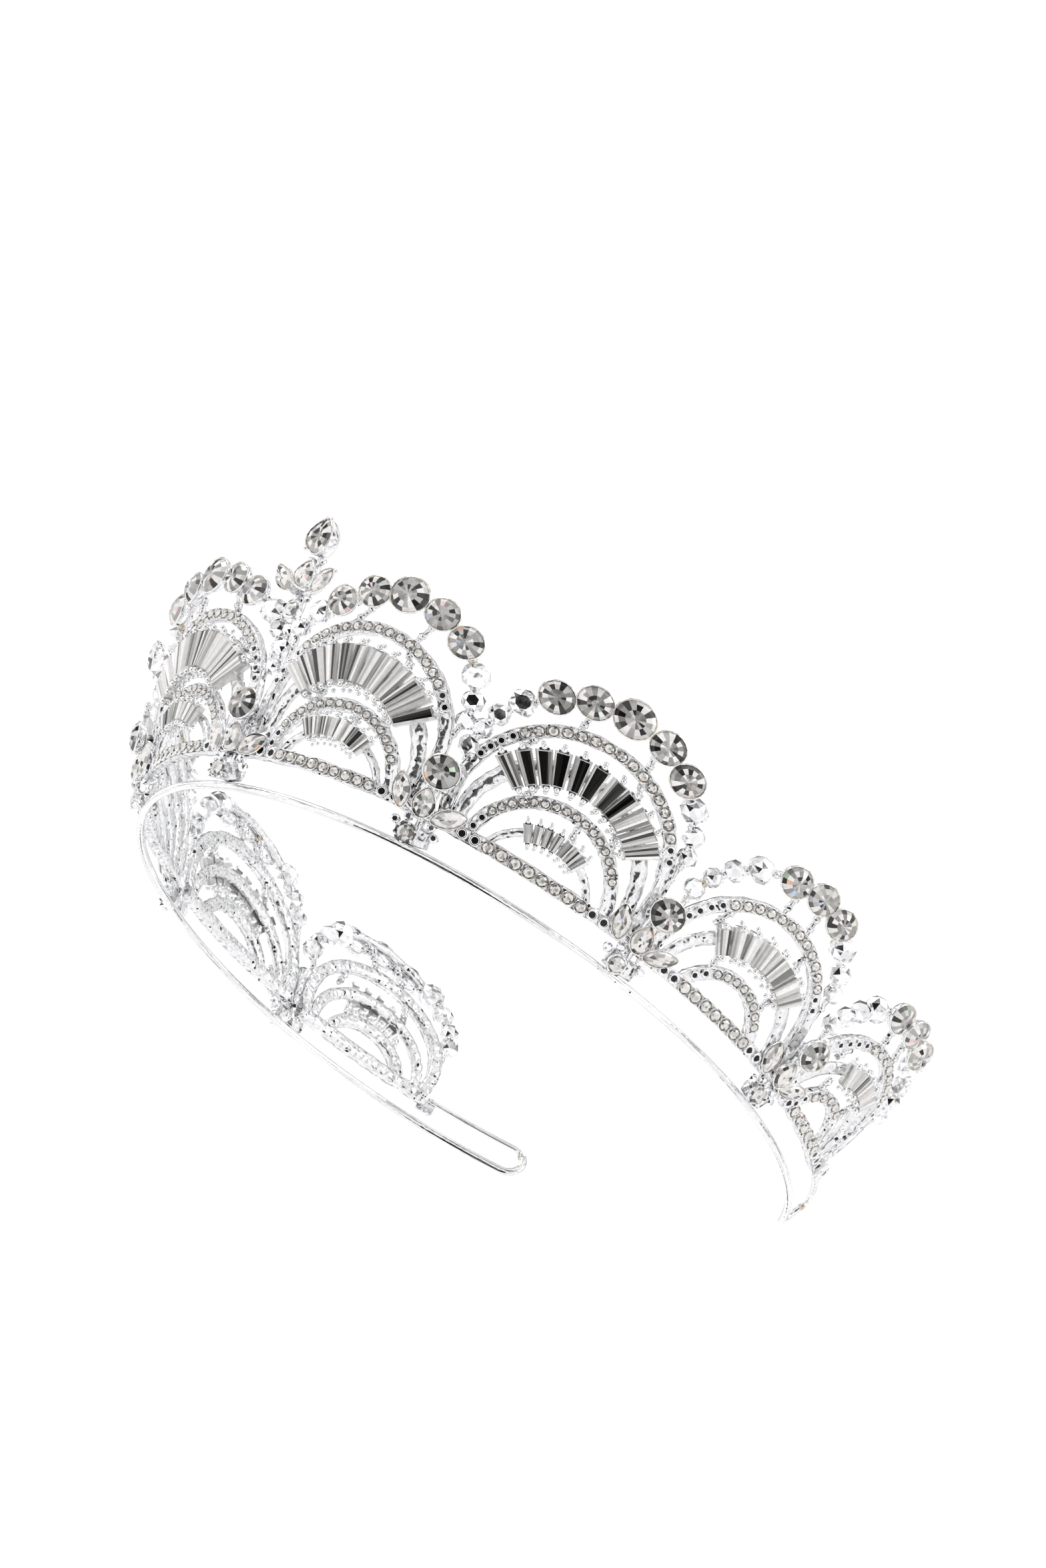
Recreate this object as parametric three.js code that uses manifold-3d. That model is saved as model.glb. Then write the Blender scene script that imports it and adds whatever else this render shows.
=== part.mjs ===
// Bridal tiara: a flat wire head band that carries eight openwork fan castings, seven flower
// clusters and a centre spire, all set with cut crystals.
//
// Frame, in millimetres: +Z up, the band lies flat on z = 0, the front of the tiara faces -Y,
// and x = 0 is its plane of symmetry. "right" is the +X side, as someone facing it sees it.
//
// The ornament is drawn on a wall that rises from the band and leans outward. A place on that
// wall is (along, height, out): along is measured on the band from its front centre, height up
// the slope from the band's middle, and out at right angles to the wall, away from the head.

import * as THREE from 'three';
import { mergeVertices } from 'three/addons/utils/BufferGeometryUtils.js';
import Module from 'manifold-3d';

const wasm = await Module();
wasm.setup();

// ---------- driving dimensions ----------

const BAND_THICKNESS = 1.3;
const BAND_HEIGHT = 1.6;
const BAND_STEP = 4.5;
const RETURN_WIRE = 1.1;
const BAND_TURN = 130;
const RETURN_TURN = 149;
const BAND_RADII = [48, 65, 83, 88, 75, 72];
const RADIUS_SPACING = 35;

const FRONT_LEAN = 9.7;
const SIDE_LEAN = 23;
const LEAN_SETTLES_AT = 75;

const CLUSTERS_AT = [0, 40.2, 83.4, 123.5];
const ORNAMENT_END = 157.5;
const LOOP_END = 178.5;
const LOOP_HEIGHT = 6.6;

const GAP = 0.3;
const BACK = -0.9;
const FRONT = 0.9;
const CREST_FRONT = 3.6;
const STONE_OVERLAP = 0.3;

const SEAT_WIDTH = 1.6;
const NECK = 0.7;
const NOTCH = 0.6;
const BAR_WIDTH = 2.7;
const STRUT_WIDTH = 1.2;
const STRUT_THICKNESS = 1.3;
const POST_HALF_WIDTH = 0.8;

// The angles on their arches at which the ties stand, and how far above an arch's centre the last
// tie may reach it.
const OUTER_TIES_AT = 40;
const INNER_TIES_AT = 36;
const SMALL_TIE_AT = 5;
const LAST_TIE_RISE = 4;

// Depths out of the wall: how thick the rows of stones are, and where the parts of a flower end.
const BAGUETTE_DEPTH = 1.8;
const BAR_STONE_DEPTH = 1.2;
const STONE_SHARE = 0.6;
const POST = { back: -0.8, front: 1.5 };
const FLOWER = { cupBack: 1.1, stemFront: 2.2, front: 2.8, pearBack: 1.3, pearFront: 3.2 };
const CRYSTAL = { seatRadius: 1.9, seatFront: 2, front: 4.9, sides: 12 };

const VALLEY_HEIGHT = 21.3;
const CENTRE_VALLEY_HEIGHT = 27.7;
const BEAD_RADII = [2.5, 2.05, 1.85];
const VALLEY_BEAD_RADIUS = 2;

// One entry for each fan, from the front centre to the ends. apex and radius give each arch's
// top height and radius; the crest is the row of round stones and beads along the top edge. tuck
// says how far short of the line to the next fan its beads end, on its inner and outer side.
const FANS = [
  {
    crest: { apex: 41, radius: 18.4, shift: 1, stones: [3.1, 3.1, 3.6, 3.1, 3.1], innerBeads: 2 },
    tuck: { inner: 0, outer: 1.3 },
    pave: { apex: 34.2, radius: 17.9, width: 2.1 },
    baguettes: { apex: 26.8, radius: 15.2, width: 2, count: 12, length: 7.6, spread: 54 },
    innerPave: { apex: 19.4, radius: 12.6, width: 2 },
    smallBaguettes: { apex: 14.6, radius: 11, width: 1.6, count: 8, length: 3.8, spread: 33 },
    bar: { height: 7.3, stones: 9, pitch: 2.32 },
  },
  {
    crest: { apex: 39.6, radius: 20.3, shift: 0, stones: [3.1, 3.1, 3.6, 3.1, 3.1], innerBeads: 3 },
    tuck: { inner: 1.5, outer: 1.7 },
    pave: { apex: 33, radius: 19.2, width: 2.1 },
    baguettes: { apex: 26.2, radius: 16.4, width: 2.2, count: 11, length: 6.4, spread: 53 },
    innerPave: { apex: 19.6, radius: 13.7, width: 2 },
    smallBaguettes: { apex: 13.8, radius: 11.2, width: 1.6, count: 7, length: 3.4, spread: 30 },
    bar: { height: 6.9, stones: 8, pitch: 2.66 },
  },
  {
    crest: { apex: 35, radius: 18, shift: -0.4, stones: [3.1, 3.1, 3.1], innerBeads: 3 },
    tuck: { inner: 1.8, outer: 3.2 },
    pave: { apex: 27.7, radius: 17.6, width: 2.1 },
    baguettes: { apex: 20.4, radius: 15.2, width: 2.2, count: 8, length: 5.2, spread: 40 },
    innerPave: { apex: 13.8, radius: 10.2, width: 2 },
    bar: { height: 6.8, stones: 7, pitch: 2.75 },
  },
  {
    crest: { apex: 33.2, radius: 15.4, shift: -2, stones: [3.1, 3.1, 3.1], innerBeads: 3 },
    tuck: { inner: 0.6, outer: 1.5 },
    pave: { apex: 26.1, radius: 14.7, width: 2.1 },
    baguettes: { apex: 19.6, radius: 12.2, width: 2, count: 5, length: 4.2, spread: 28 },
    innerPave: { apex: 13.4, radius: 8.6, width: 2 },
    bar: { height: 6.4, stones: 6, pitch: 2.8 },
  },
];

const CRYSTAL_RADIUS = 3.1;
const CRYSTAL_HEIGHT = 14.8;
const SMALL_CUP = { along: -0.9, height: 2.4, radius: 1.9 };
const PEAR_CUP = { height: 8.6, wide: 2.2, tall: 3.0 };
const LEAF_CUP = { along: 4.3, height: 8.9, wide: 1.7, tall: 3.1, tilt: 40 };
const TAB = { halfWidth: 3.0, bottom: 1.1, top: 4.7, back: -0.6, front: 1.2 };
const END_TAB = { past: 0.9, width: 3.4, height: 4, depth: 0.7 };
const STEM_DROP = 1.8;

const SPIRE = {
  stem: { below: 5, back: -0.7, front: 1.1, footRadius: 1.6 },
  smallCup: { height: 34.8, radius: 1.9, back: 0.6, front: 2.6 },
  pearCup: { height: 41.8, wide: 2.3, tall: 3, back: 0.8, front: 3.2 },
  leafCup: { along: 4.2, height: 41, wide: 1.6, tall: 3, tilt: 35, back: 0.7, stemFront: 1.9, front: 2.6 },
  topPear: { height: 49.3, wide: 2.9, tall: 4.1, back: -1.2, cupFront: 1.4 },
  topStone: { wide: 2.7, tall: 3.9, front: 3.4, sides: 10 },
};

const ARC_SEGMENTS = 6;
const WIDEST_ARCH = 19;
const BAR_SEGMENTS = 8;
const PRISM_SIDES = 8;
const LEAF_SIDES = 6;
const DEGREE = Math.PI / 180;

// ---------- materials ----------

const silver = new THREE.MeshStandardMaterial({ color: 0xdfe1e3, roughness: 0.16, metalness: 1 });
const crystal = new THREE.MeshStandardMaterial({ color: 0xcfccc6, roughness: 0.05, metalness: 0.1 });

// ---------- the leaning wall ----------

const PLAN_STEP = 0.5;

function bandRadiusAt(along) {
  const place = Math.min(along / RADIUS_SPACING, BAND_RADII.length - 1.001);
  const i = Math.floor(place);
  return THREE.MathUtils.lerp(BAND_RADII[i], BAND_RADII[i + 1], place - i);
}

// The band's middle line on the +X side, one entry for each PLAN_STEP from the front centre.
function drawPlan() {
  const plan = [{ x: 0, y: 0, turn: 0 }];
  for (let along = 0; along < LOOP_END + 5; along += PLAN_STEP) {
    const last = plan[plan.length - 1];
    const turn = last.turn + PLAN_STEP / bandRadiusAt(along + PLAN_STEP / 2);
    const middle = (turn + last.turn) / 2;
    plan.push({
      x: last.x + PLAN_STEP * Math.cos(middle),
      y: last.y + PLAN_STEP * Math.sin(middle),
      turn,
    });
  }
  return plan;
}

const PLAN = drawPlan();

function planAt(along) {
  const place = Math.abs(along) / PLAN_STEP;
  const i = Math.min(Math.floor(place), PLAN.length - 2);
  const [a, b] = [PLAN[i], PLAN[i + 1]];
  const mirror = along < 0 ? -1 : 1;
  return {
    x: mirror * THREE.MathUtils.lerp(a.x, b.x, place - i),
    y: THREE.MathUtils.lerp(a.y, b.y, place - i),
    turn: mirror * THREE.MathUtils.lerp(a.turn, b.turn, place - i),
  };
}

function leanAt(along) {
  const rest = Math.max(0, 1 - Math.abs(along) / LEAN_SETTLES_AT);
  return (SIDE_LEAN - (SIDE_LEAN - FRONT_LEAN) * rest * rest) * DEGREE;
}

function onWall(along, height, out) {
  const { x, y, turn } = planAt(along);
  const lean = leanAt(along);
  const outward = height * Math.sin(lean) + out * Math.cos(lean);
  const up = height * Math.cos(lean) - out * Math.sin(lean);
  return new THREE.Vector3(
    x + outward * Math.sin(turn),
    y - outward * Math.cos(turn),
    BAND_HEIGHT / 2 + up,
  );
}

// ---------- solids ----------

// Puts each vertex where place(x, y, z) says. side is 1 for +X, and -1 for its mirror image.
function placed(geometry, place, side) {
  const bare = new THREE.BufferGeometry();
  bare.setAttribute('position', geometry.getAttribute('position').clone());
  if (geometry.index) {
    bare.setIndex(geometry.index);
  }
  const merged = mergeVertices(bare, 1e-4);
  const places = merged.getAttribute('position');
  for (let i = 0; i < places.count; i += 1) {
    const spot = place(places.getX(i), places.getY(i), places.getZ(i));
    places.setXYZ(i, side * spot.x, spot.y, spot.z);
  }
  const corners = Uint32Array.from(merged.index.array);
  if (side < 0) {
    for (let i = 0; i < corners.length; i += 3) {
      [corners[i + 1], corners[i + 2]] = [corners[i + 2], corners[i + 1]];
    }
  }
  return new wasm.Manifold(
    new wasm.Mesh({ numProp: 3, vertProperties: Float32Array.from(places.array), triVerts: corners }),
  );
}

// Bends a flat piece, drawn as x = along, y = height, z = out, onto the wall.
function bent(geometry, middle, side) {
  return placed(geometry, (x, y, z) => onWall(middle + x, y, z), side);
}

function joined(pieces, middle, side) {
  return pieces.map((piece) => bent(piece, middle, side)).reduce((whole, next) => whole.add(next));
}

function meshOf(name, solid, material) {
  const raw = solid.getMesh();
  const geometry = new THREE.BufferGeometry();
  geometry.setAttribute('position', new THREE.BufferAttribute(raw.vertProperties, 3));
  geometry.setIndex(new THREE.BufferAttribute(raw.triVerts, 1));
  geometry.computeVertexNormals();
  const mesh = new THREE.Mesh(geometry, material);
  mesh.name = name;
  return mesh;
}

// A strip that runs through a row of stations. Each station is a pair of places, one on each edge.
function strip(stations, back, front) {
  const count = stations.length - 1;
  const geometry = new THREE.BoxGeometry(count, 1, front - back, count, 1, 1);
  const places = geometry.getAttribute('position');
  for (let i = 0; i < places.count; i += 1) {
    const station = stations[Math.round(places.getX(i) + count / 2)];
    const edge = places.getY(i) > 0 ? station[1] : station[0];
    places.setXY(i, edge.x, edge.y);
  }
  return geometry.translate(0, 0, (front + back) / 2);
}

function box(width, height, back, front) {
  const geometry = new THREE.BoxGeometry(width, height, front - back);
  return geometry.translate(0, 0, (front + back) / 2);
}

// A prism standing out of the wall: the cup or body of one stone.
function cup(wide, tall, back, front, sides = PRISM_SIDES) {
  const geometry = new THREE.CylinderGeometry(1, 0.86, front - back, sides);
  return geometry.rotateX(Math.PI / 2).scale(wide, tall, 1).translate(0, 0, (front + back) / 2);
}

function bead(radius) {
  return new THREE.IcosahedronGeometry(radius, 0);
}

function strut(from, to) {
  const length = from.distanceTo(to) + 1;
  const tilt = Math.atan2(to.y - from.y, to.x - from.x);
  const middle = from.clone().add(to).multiplyScalar(0.5);
  return box(length, STRUT_WIDTH, -STRUT_THICKNESS / 2, STRUT_THICKNESS / 2)
    .rotateZ(tilt)
    .translate(middle.x, middle.y, 0);
}

// ---------- places on a fan ----------

// angle is measured from straight up, positive away from the front centre.
function onArch(arch, angle) {
  const centre = arch.apex - arch.radius;
  const turn = angle * DEGREE;
  return new THREE.Vector2(
    (arch.shift ?? 0) + arch.radius * Math.sin(turn),
    centre + arch.radius * Math.cos(turn),
  );
}

// Stations along an arch band: round above its centre, with straight legs down to the bar.
function archStations(arch, foot) {
  const centre = arch.apex - arch.radius;
  const half = arch.width / 2;
  const limit = centre < foot ? Math.acos((foot - centre) / arch.radius) / DEGREE : 90;
  const count = Math.round((ARC_SEGMENTS * arch.radius) / WIDEST_ARCH) * 2;
  const at = (offset, angle) => {
    const turn = angle * DEGREE;
    const radius = arch.radius + offset;
    return new THREE.Vector2(radius * Math.sin(turn), centre + radius * Math.cos(turn));
  };
  const stations = Array.from({ length: count + 1 }, (_, i) => {
    const angle = THREE.MathUtils.lerp(-limit, limit, i / count);
    return [at(-half, angle), at(half, angle)];
  });
  if (centre > foot) {
    const down = (pair) => pair.map((place) => new THREE.Vector2(place.x, foot));
    stations.unshift(down(stations[0]));
    stations.push(down(stations[stations.length - 1]));
  }
  return stations;
}

// The round stones of a crest, left to right, each with its angle and radius.
function crestStones(fan) {
  const { stones, radius } = fan.crest;
  const angles = [0];
  for (let i = 1; i < stones.length; i += 1) {
    const step = (stones[i - 1] + stones[i] - STONE_OVERLAP) / radius / DEGREE;
    angles.push(angles[i - 1] + step);
  }
  const middle = angles[angles.length - 1] / 2;
  return stones.map((size, i) => ({ size, angle: angles[i] - middle }));
}

// The metal beads that lead from the last stone of a crest down to the valley beside it.
function crestBeads(fan, valley, direction, count) {
  const stones = crestStones(fan);
  const last = stones[stones.length - 1];
  const centre = fan.crest.apex - fan.crest.radius;
  const toValley = valley.clone().sub(new THREE.Vector2(fan.crest.shift, centre));
  const endAngle = Math.atan2(Math.abs(toValley.x), toValley.y) / DEGREE;
  const endRadius = toValley.length();
  const sizes = [last.size, ...BEAD_RADII.slice(0, count), VALLEY_BEAD_RADIUS];
  const reach = sizes.slice(1).map((size, i) => size + sizes[i]);
  const whole = reach.reduce((sum, part) => sum + part);
  let travelled = 0;
  return BEAD_RADII.slice(0, count).map((size, i) => {
    travelled += reach[i];
    const share = travelled / whole;
    const angle = THREE.MathUtils.lerp(last.angle, endAngle, share);
    const radius = THREE.MathUtils.lerp(fan.crest.radius, endRadius, share);
    const arch = { apex: centre + radius, radius, shift: fan.crest.shift };
    return { size, place: onArch(arch, direction * angle) };
  });
}

// ---------- parts of one fan ----------

// The stations of a strip that is as wide at each place as that place's size.
function beadStations(chain) {
  return chain.map(({ place, size }, i) => {
    const before = chain[Math.max(0, i - 1)].place;
    const after = chain[Math.min(chain.length - 1, i + 1)].place;
    const side = after.clone().sub(before).normalize().rotateAround(new THREE.Vector2(), Math.PI / 2);
    return [place.clone().addScaledVector(side, -size), place.clone().addScaledVector(side, size)];
  });
}

// Adds a narrow neck half way between each two beads of a chain.
function withNecks(chain) {
  return chain.flatMap((one, i) => {
    const next = chain[i + 1];
    if (!next) {
      return [one];
    }
    return [one, { place: one.place.clone().lerp(next.place, 0.52), size: NECK }];
  });
}

function tiesBetween(lower, upper, angles) {
  return angles.map((angle) => [onArch(lower, angle), onArch(upper, angle)]);
}

function fanFrame(fan, halfPitch, isFirst, isLast) {
  const { crest, tuck, pave, baguettes, innerPave, smallBaguettes, bar } = fan;
  const stones = crestStones(fan);
  const edge = stones[stones.length - 1].angle;
  const valleyHeight = isFirst ? CENTRE_VALLEY_HEIGHT : VALLEY_HEIGHT;
  const outerValley = new THREE.Vector2(halfPitch - tuck.outer, VALLEY_HEIGHT);
  const innerValley = new THREE.Vector2(tuck.inner - halfPitch, valleyHeight);
  const outerBeads = crestBeads(fan, outerValley, 1, BEAD_RADII.length);
  const innerBeads = crestBeads(fan, innerValley, -1, crest.innerBeads);
  const seat = stones.map(({ angle }) => ({ place: onArch(crest, angle), size: SEAT_WIDTH / 2 }));
  const inner = [...innerBeads].reverse();
  const outer = [...outerBeads];
  // The bead at a valley belongs to the fan on its outer side; the spire holds the centre one.
  if (!isFirst) {
    inner.unshift({ place: innerValley, size: VALLEY_BEAD_RADIUS });
  }
  if (isLast) {
    const inset = new THREE.Vector2(halfPitch - VALLEY_BEAD_RADIUS, VALLEY_HEIGHT);
    outer.push({ place: inset, size: VALLEY_BEAD_RADIUS });
  }
  // Nothing of a frame crosses the line half way to the next frame.
  const kept = (place, margin) => {
    const limit = halfPitch - margin;
    return new THREE.Vector2(THREE.MathUtils.clamp(place.x, -limit, limit), place.y);
  };
  const chain = beadStations([...withNecks(inner), ...seat, ...withNecks(outer)]);
  const ties = [
    [onArch(pave, -edge / 2), onArch(crest, -edge / 2)],
    [onArch(pave, edge / 2), onArch(crest, edge / 2)],
    ...tiesBetween(baguettes, pave, [-OUTER_TIES_AT, OUTER_TIES_AT]),
    ...tiesBetween(innerPave, baguettes, [-INNER_TIES_AT, INNER_TIES_AT]),
  ];
  if (smallBaguettes) {
    ties.push(...tiesBetween(smallBaguettes, innerPave, [SMALL_TIE_AT]));
  }
  for (const [direction, first] of [[-1, inner[0].place], [1, outer[outer.length - 1].place]]) {
    const rise = Math.min(first.y - pave.apex + pave.radius, LAST_TIE_RISE);
    const angle = Math.acos(rise / pave.radius) / DEGREE;
    ties.push([onArch(pave, direction * angle), kept(first, STRUT_WIDTH)]);
  }
  const arches = [pave, baguettes, innerPave, smallBaguettes].filter(Boolean);
  const barEnd = halfPitch - POST_HALF_WIDTH - GAP;
  const barStations = Array.from({ length: BAR_SEGMENTS + 1 }, (_, i) => {
    const along = THREE.MathUtils.lerp(-barEnd, barEnd, i / BAR_SEGMENTS);
    const low = new THREE.Vector2(along, bar.height - BAR_WIDTH / 2);
    return [low, new THREE.Vector2(along, bar.height + BAR_WIDTH / 2)];
  });
  return [
    ...arches.map((arch) => strip(archStations(arch, bar.height), BACK, FRONT)),
    strip(barStations, BACK - 0.1, FRONT + 0.1),
    strip(chain.map((pair) => pair.map((place) => kept(place, GAP / 2))), BACK - 0.3, FRONT - 0.1),
    ...ties.map(([from, to]) => strut(from, to)),
  ];
}

function crestRow(fan) {
  return crestStones(fan).map(({ size, angle }) => {
    const place = onArch(fan.crest, angle);
    // The prism's flats, not its corners, lie at the stone's radius.
    const reach = size / Math.cos(Math.PI / PRISM_SIDES);
    return cup(reach, reach, FRONT + GAP, CREST_FRONT).translate(place.x, place.y, 0);
  });
}

// A fan of tapered baguettes, held together by one edge: notches part their outer ends.
function baguetteRow(fanned) {
  const half = fanned.length / 2;
  const step = (2 * fanned.spread) / fanned.count;
  const at = (offset, angle) => {
    const arch = { ...fanned, apex: fanned.apex + offset, radius: fanned.radius + offset };
    return onArch(arch, angle);
  };
  const stations = [];
  for (let i = 0; i <= fanned.count; i += 1) {
    const from = i * step - fanned.spread;
    stations.push([at(-half, from), at(half - NOTCH, from)]);
    if (i < fanned.count) {
      const margin = ((1 - STONE_SHARE) / 2) * step;
      const to = from + step;
      stations.push([at(-half, from + margin), at(half, from + margin)]);
      stations.push([at(-half, to - margin), at(half, to - margin)]);
    }
  }
  return [strip(stations, FRONT + GAP, FRONT + GAP + BAGUETTE_DEPTH)];
}

function barRow(bar) {
  const chain = Array.from({ length: bar.stones }, (_, i) => {
    const along = (i - (bar.stones - 1) / 2) * bar.pitch;
    return { place: new THREE.Vector2(along, bar.height), size: bar.pitch / 2 };
  });
  const back = FRONT + 0.1 + GAP;
  return [strip(beadStations(withNecks(chain)), back, back + BAR_STONE_DEPTH)];
}

// ---------- flower clusters and spire ----------

function leaf(leafCup, direction, back, front) {
  return cup(leafCup.wide, leafCup.tall, back, front, LEAF_SIDES)
    .rotateZ(-direction * leafCup.tilt * DEGREE)
    .translate(direction * leafCup.along, leafCup.height, 0);
}

function clusterPieces() {
  const postHeight = CRYSTAL_HEIGHT - TAB.bottom;
  const back = FRONT + 0.1 + GAP;
  const stem = box(2 * LEAF_CUP.along, STRUT_WIDTH, back, FLOWER.stemFront);
  return [
    box(2 * POST_HALF_WIDTH, postHeight, POST.back, POST.front)
      .translate(0, TAB.bottom + postHeight / 2, 0),
    box(2 * TAB.halfWidth, TAB.top - TAB.bottom, TAB.back, TAB.front)
      .translate(0, (TAB.top + TAB.bottom) / 2, 0),
    cup(CRYSTAL.seatRadius, CRYSTAL.seatRadius, back, CRYSTAL.seatFront).translate(0, CRYSTAL_HEIGHT, 0),
    cup(SMALL_CUP.radius, SMALL_CUP.radius, FLOWER.cupBack, FLOWER.front)
      .translate(SMALL_CUP.along, SMALL_CUP.height, 0),
    cup(PEAR_CUP.wide, PEAR_CUP.tall, FLOWER.pearBack, FLOWER.pearFront).translate(0, PEAR_CUP.height, 0),
    stem.translate(0, LEAF_CUP.height - STEM_DROP, 0),
    leaf(LEAF_CUP, 1, back, FLOWER.front),
    leaf(LEAF_CUP, -1, back, FLOWER.front),
  ];
}

function spirePieces() {
  const { stem, smallCup, pearCup, leafCup, topPear } = SPIRE;
  const bottom = CENTRE_VALLEY_HEIGHT - stem.below;
  const top = topPear.height;
  return [
    box(STRUT_WIDTH, top - bottom, stem.back, stem.front).translate(0, (top + bottom) / 2, 0),
    bead(VALLEY_BEAD_RADIUS).translate(0, CENTRE_VALLEY_HEIGHT, 0),
    bead(stem.footRadius).translate(0, bottom + 1, 0),
    cup(smallCup.radius, smallCup.radius, smallCup.back, smallCup.front).translate(0, smallCup.height, 0),
    cup(pearCup.wide, pearCup.tall, pearCup.back, pearCup.front).translate(0, pearCup.height, 0),
    box(2 * leafCup.along, STRUT_WIDTH, leafCup.back, leafCup.stemFront)
      .translate(0, leafCup.height - STEM_DROP, 0),
    leaf(leafCup, 1, leafCup.back, leafCup.front),
    leaf(leafCup, -1, leafCup.back, leafCup.front),
    cup(topPear.wide, topPear.tall, topPear.back, topPear.cupFront).translate(0, topPear.height, 0),
  ];
}

// A small flat plate on the face of the last fan, past its bar stones.
function endTab(halfPitch) {
  const back = FRONT + 0.1 + GAP;
  return box(END_TAB.width, END_TAB.height, back, back + END_TAB.depth)
    .translate(halfPitch + END_TAB.past - END_TAB.width / 2, FANS[FANS.length - 1].bar.height, 0);
}

// ---------- wires ----------

// A station of a wire: its place on the wall, its heading there in degrees above "along", and
// the share of the wall's lean that its section takes.
function station(along, height, heading, share) {
  return { along, height, heading, share };
}

// The hairpin end: the band's last stretch turns up the wall and comes back above itself.
function loopTurn(from, to, steps) {
  const radius = LOOP_HEIGHT / 2;
  return Array.from({ length: steps + 1 }, (_, i) => {
    const heading = THREE.MathUtils.lerp(from, to, i / steps);
    const turn = heading * DEGREE;
    const along = LOOP_END - radius + radius * Math.sin(turn);
    return station(along, radius - radius * Math.cos(turn), heading, Math.min(1, heading / BAND_TURN));
  });
}

// Sweeps a rectangular section, tall across the wire and thick out of the wall.
function wire(stations, tall, thick, side) {
  const count = stations.length - 1;
  const place = (x, across, out) => {
    const { along, height, heading, share } = stations[Math.round(x + count / 2)];
    const { turn } = planAt(along);
    const lean = leanAt(along) * share;
    const forward = new THREE.Vector3(Math.cos(turn), Math.sin(turn), 0);
    const outward = new THREE.Vector3(Math.sin(turn), -Math.cos(turn), 0);
    const up = outward.clone().multiplyScalar(Math.sin(lean)).setZ(Math.cos(lean));
    const normal = outward.clone().multiplyScalar(Math.cos(lean)).setZ(-Math.sin(lean));
    return onWall(along, height, 0)
      .addScaledVector(forward, -across * Math.sin(heading * DEGREE))
      .addScaledVector(up, across * Math.cos(heading * DEGREE))
      .addScaledVector(normal, out);
  };
  return placed(new THREE.BoxGeometry(count, tall, thick, count, 1, 1), place, side);
}

function headBand() {
  const straightEnd = LOOP_END - LOOP_HEIGHT / 2;
  const right = [];
  for (let along = BAND_STEP; along < straightEnd - BAND_STEP / 2; along += BAND_STEP) {
    right.push(station(along, 0, 0, 0));
  }
  right.push(...loopTurn(0, BAND_TURN, 5));
  const left = [...right].reverse().map((one) => ({ ...one, along: -one.along, heading: -one.heading }));
  return wire([...left, station(0, 0, 0, 0), ...right], BAND_HEIGHT, BAND_THICKNESS, 1);
}

function returnWire(side) {
  const stations = [];
  const end = LOOP_END - LOOP_HEIGHT / 2;
  for (let along = ORNAMENT_END + GAP + 0.2; along < end - BAND_STEP / 2; along += BAND_STEP) {
    stations.push(station(along, LOOP_HEIGHT, 0, 1));
  }
  stations.push(station(end, LOOP_HEIGHT, 0, 1));
  const [turnEnd] = loopTurn(RETURN_TURN, RETURN_TURN, 1);
  stations.push({ ...turnEnd, heading: turnEnd.heading - 180 });
  return wire(stations, RETURN_WIRE, RETURN_WIRE, side);
}

// ---------- assembly ----------

const tiara = new THREE.Group();
tiara.add(meshOf('head_band', headBand(), silver));

const SIDES = [['right', 1], ['left', -1]];
for (const [sideName, side] of SIDES) {
  FANS.forEach((fan, i) => {
    const start = CLUSTERS_AT[i];
    const isLast = i === FANS.length - 1;
    const end = isLast ? ORNAMENT_END : CLUSTERS_AT[i + 1];
    const middle = (start + end) / 2;
    const label = `${sideName}_${i + 1}`;
    const put = (name, pieces, material) => tiara.add(meshOf(name, joined(pieces, middle, side), material));
    put(`fan_frame_${label}`, fanFrame(fan, (end - start) / 2, i === 0, isLast), silver);
    put(`crest_stones_${label}`, crestRow(fan), crystal);
    put(`baguette_fan_${label}`, baguetteRow(fan.baguettes), crystal);
    put(`bar_stones_${label}`, barRow(fan.bar), crystal);
    if (fan.smallBaguettes) {
      put(`small_baguette_fan_${label}`, baguetteRow(fan.smallBaguettes), crystal);
    }
    if (isLast) {
      put(`end_tab_${sideName}`, [endTab((end - start) / 2)], silver);
    }
  });
  tiara.add(meshOf(`return_wire_${sideName}`, returnWire(side), silver));
}

for (const [sideName, side] of SIDES) {
  CLUSTERS_AT.forEach((along, i) => {
    if (i === 0 && side < 0) {
      return;
    }
    const label = i === 0 ? 'centre' : `${sideName}_${i}`;
    tiara.add(meshOf(`cluster_${label}`, joined(clusterPieces(), along, side), silver));
    const back = CRYSTAL.seatFront + GAP;
    const stone = cup(CRYSTAL_RADIUS, CRYSTAL_RADIUS, back, CRYSTAL.front, CRYSTAL.sides);
    stone.translate(0, CRYSTAL_HEIGHT, 0);
    tiara.add(meshOf(`cluster_crystal_${label}`, joined([stone], along, side), crystal));
  });
}

tiara.add(meshOf('spire', joined(spirePieces(), 0, 1), silver));
const { topPear, topStone } = SPIRE;
const pearBack = topPear.cupFront + GAP;
const pearStone = cup(topStone.wide, topStone.tall, pearBack, topStone.front, topStone.sides);
pearStone.translate(0, topPear.height, 0);
tiara.add(meshOf('spire_crystal', joined([pearStone], 0, 1), crystal));

// The origin goes to the middle of the object's footprint.
const outline = new THREE.Box3().setFromObject(tiara);
tiara.position.y = -(outline.min.y + outline.max.y) / 2;
tiara.position.z = -outline.min.z;

export default tiara;
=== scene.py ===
"""The looks of the bridal tiara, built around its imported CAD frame.

The ornament is drawn in millimetres on a wall that leans outward from the head band. A place on
it is (along, height, out): along the band from its front centre, up the slope from the band's
middle, and out at right angles to the wall, away from the head.
"""

import math
import random

import bpy
from mathutils import Matrix, Vector


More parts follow.
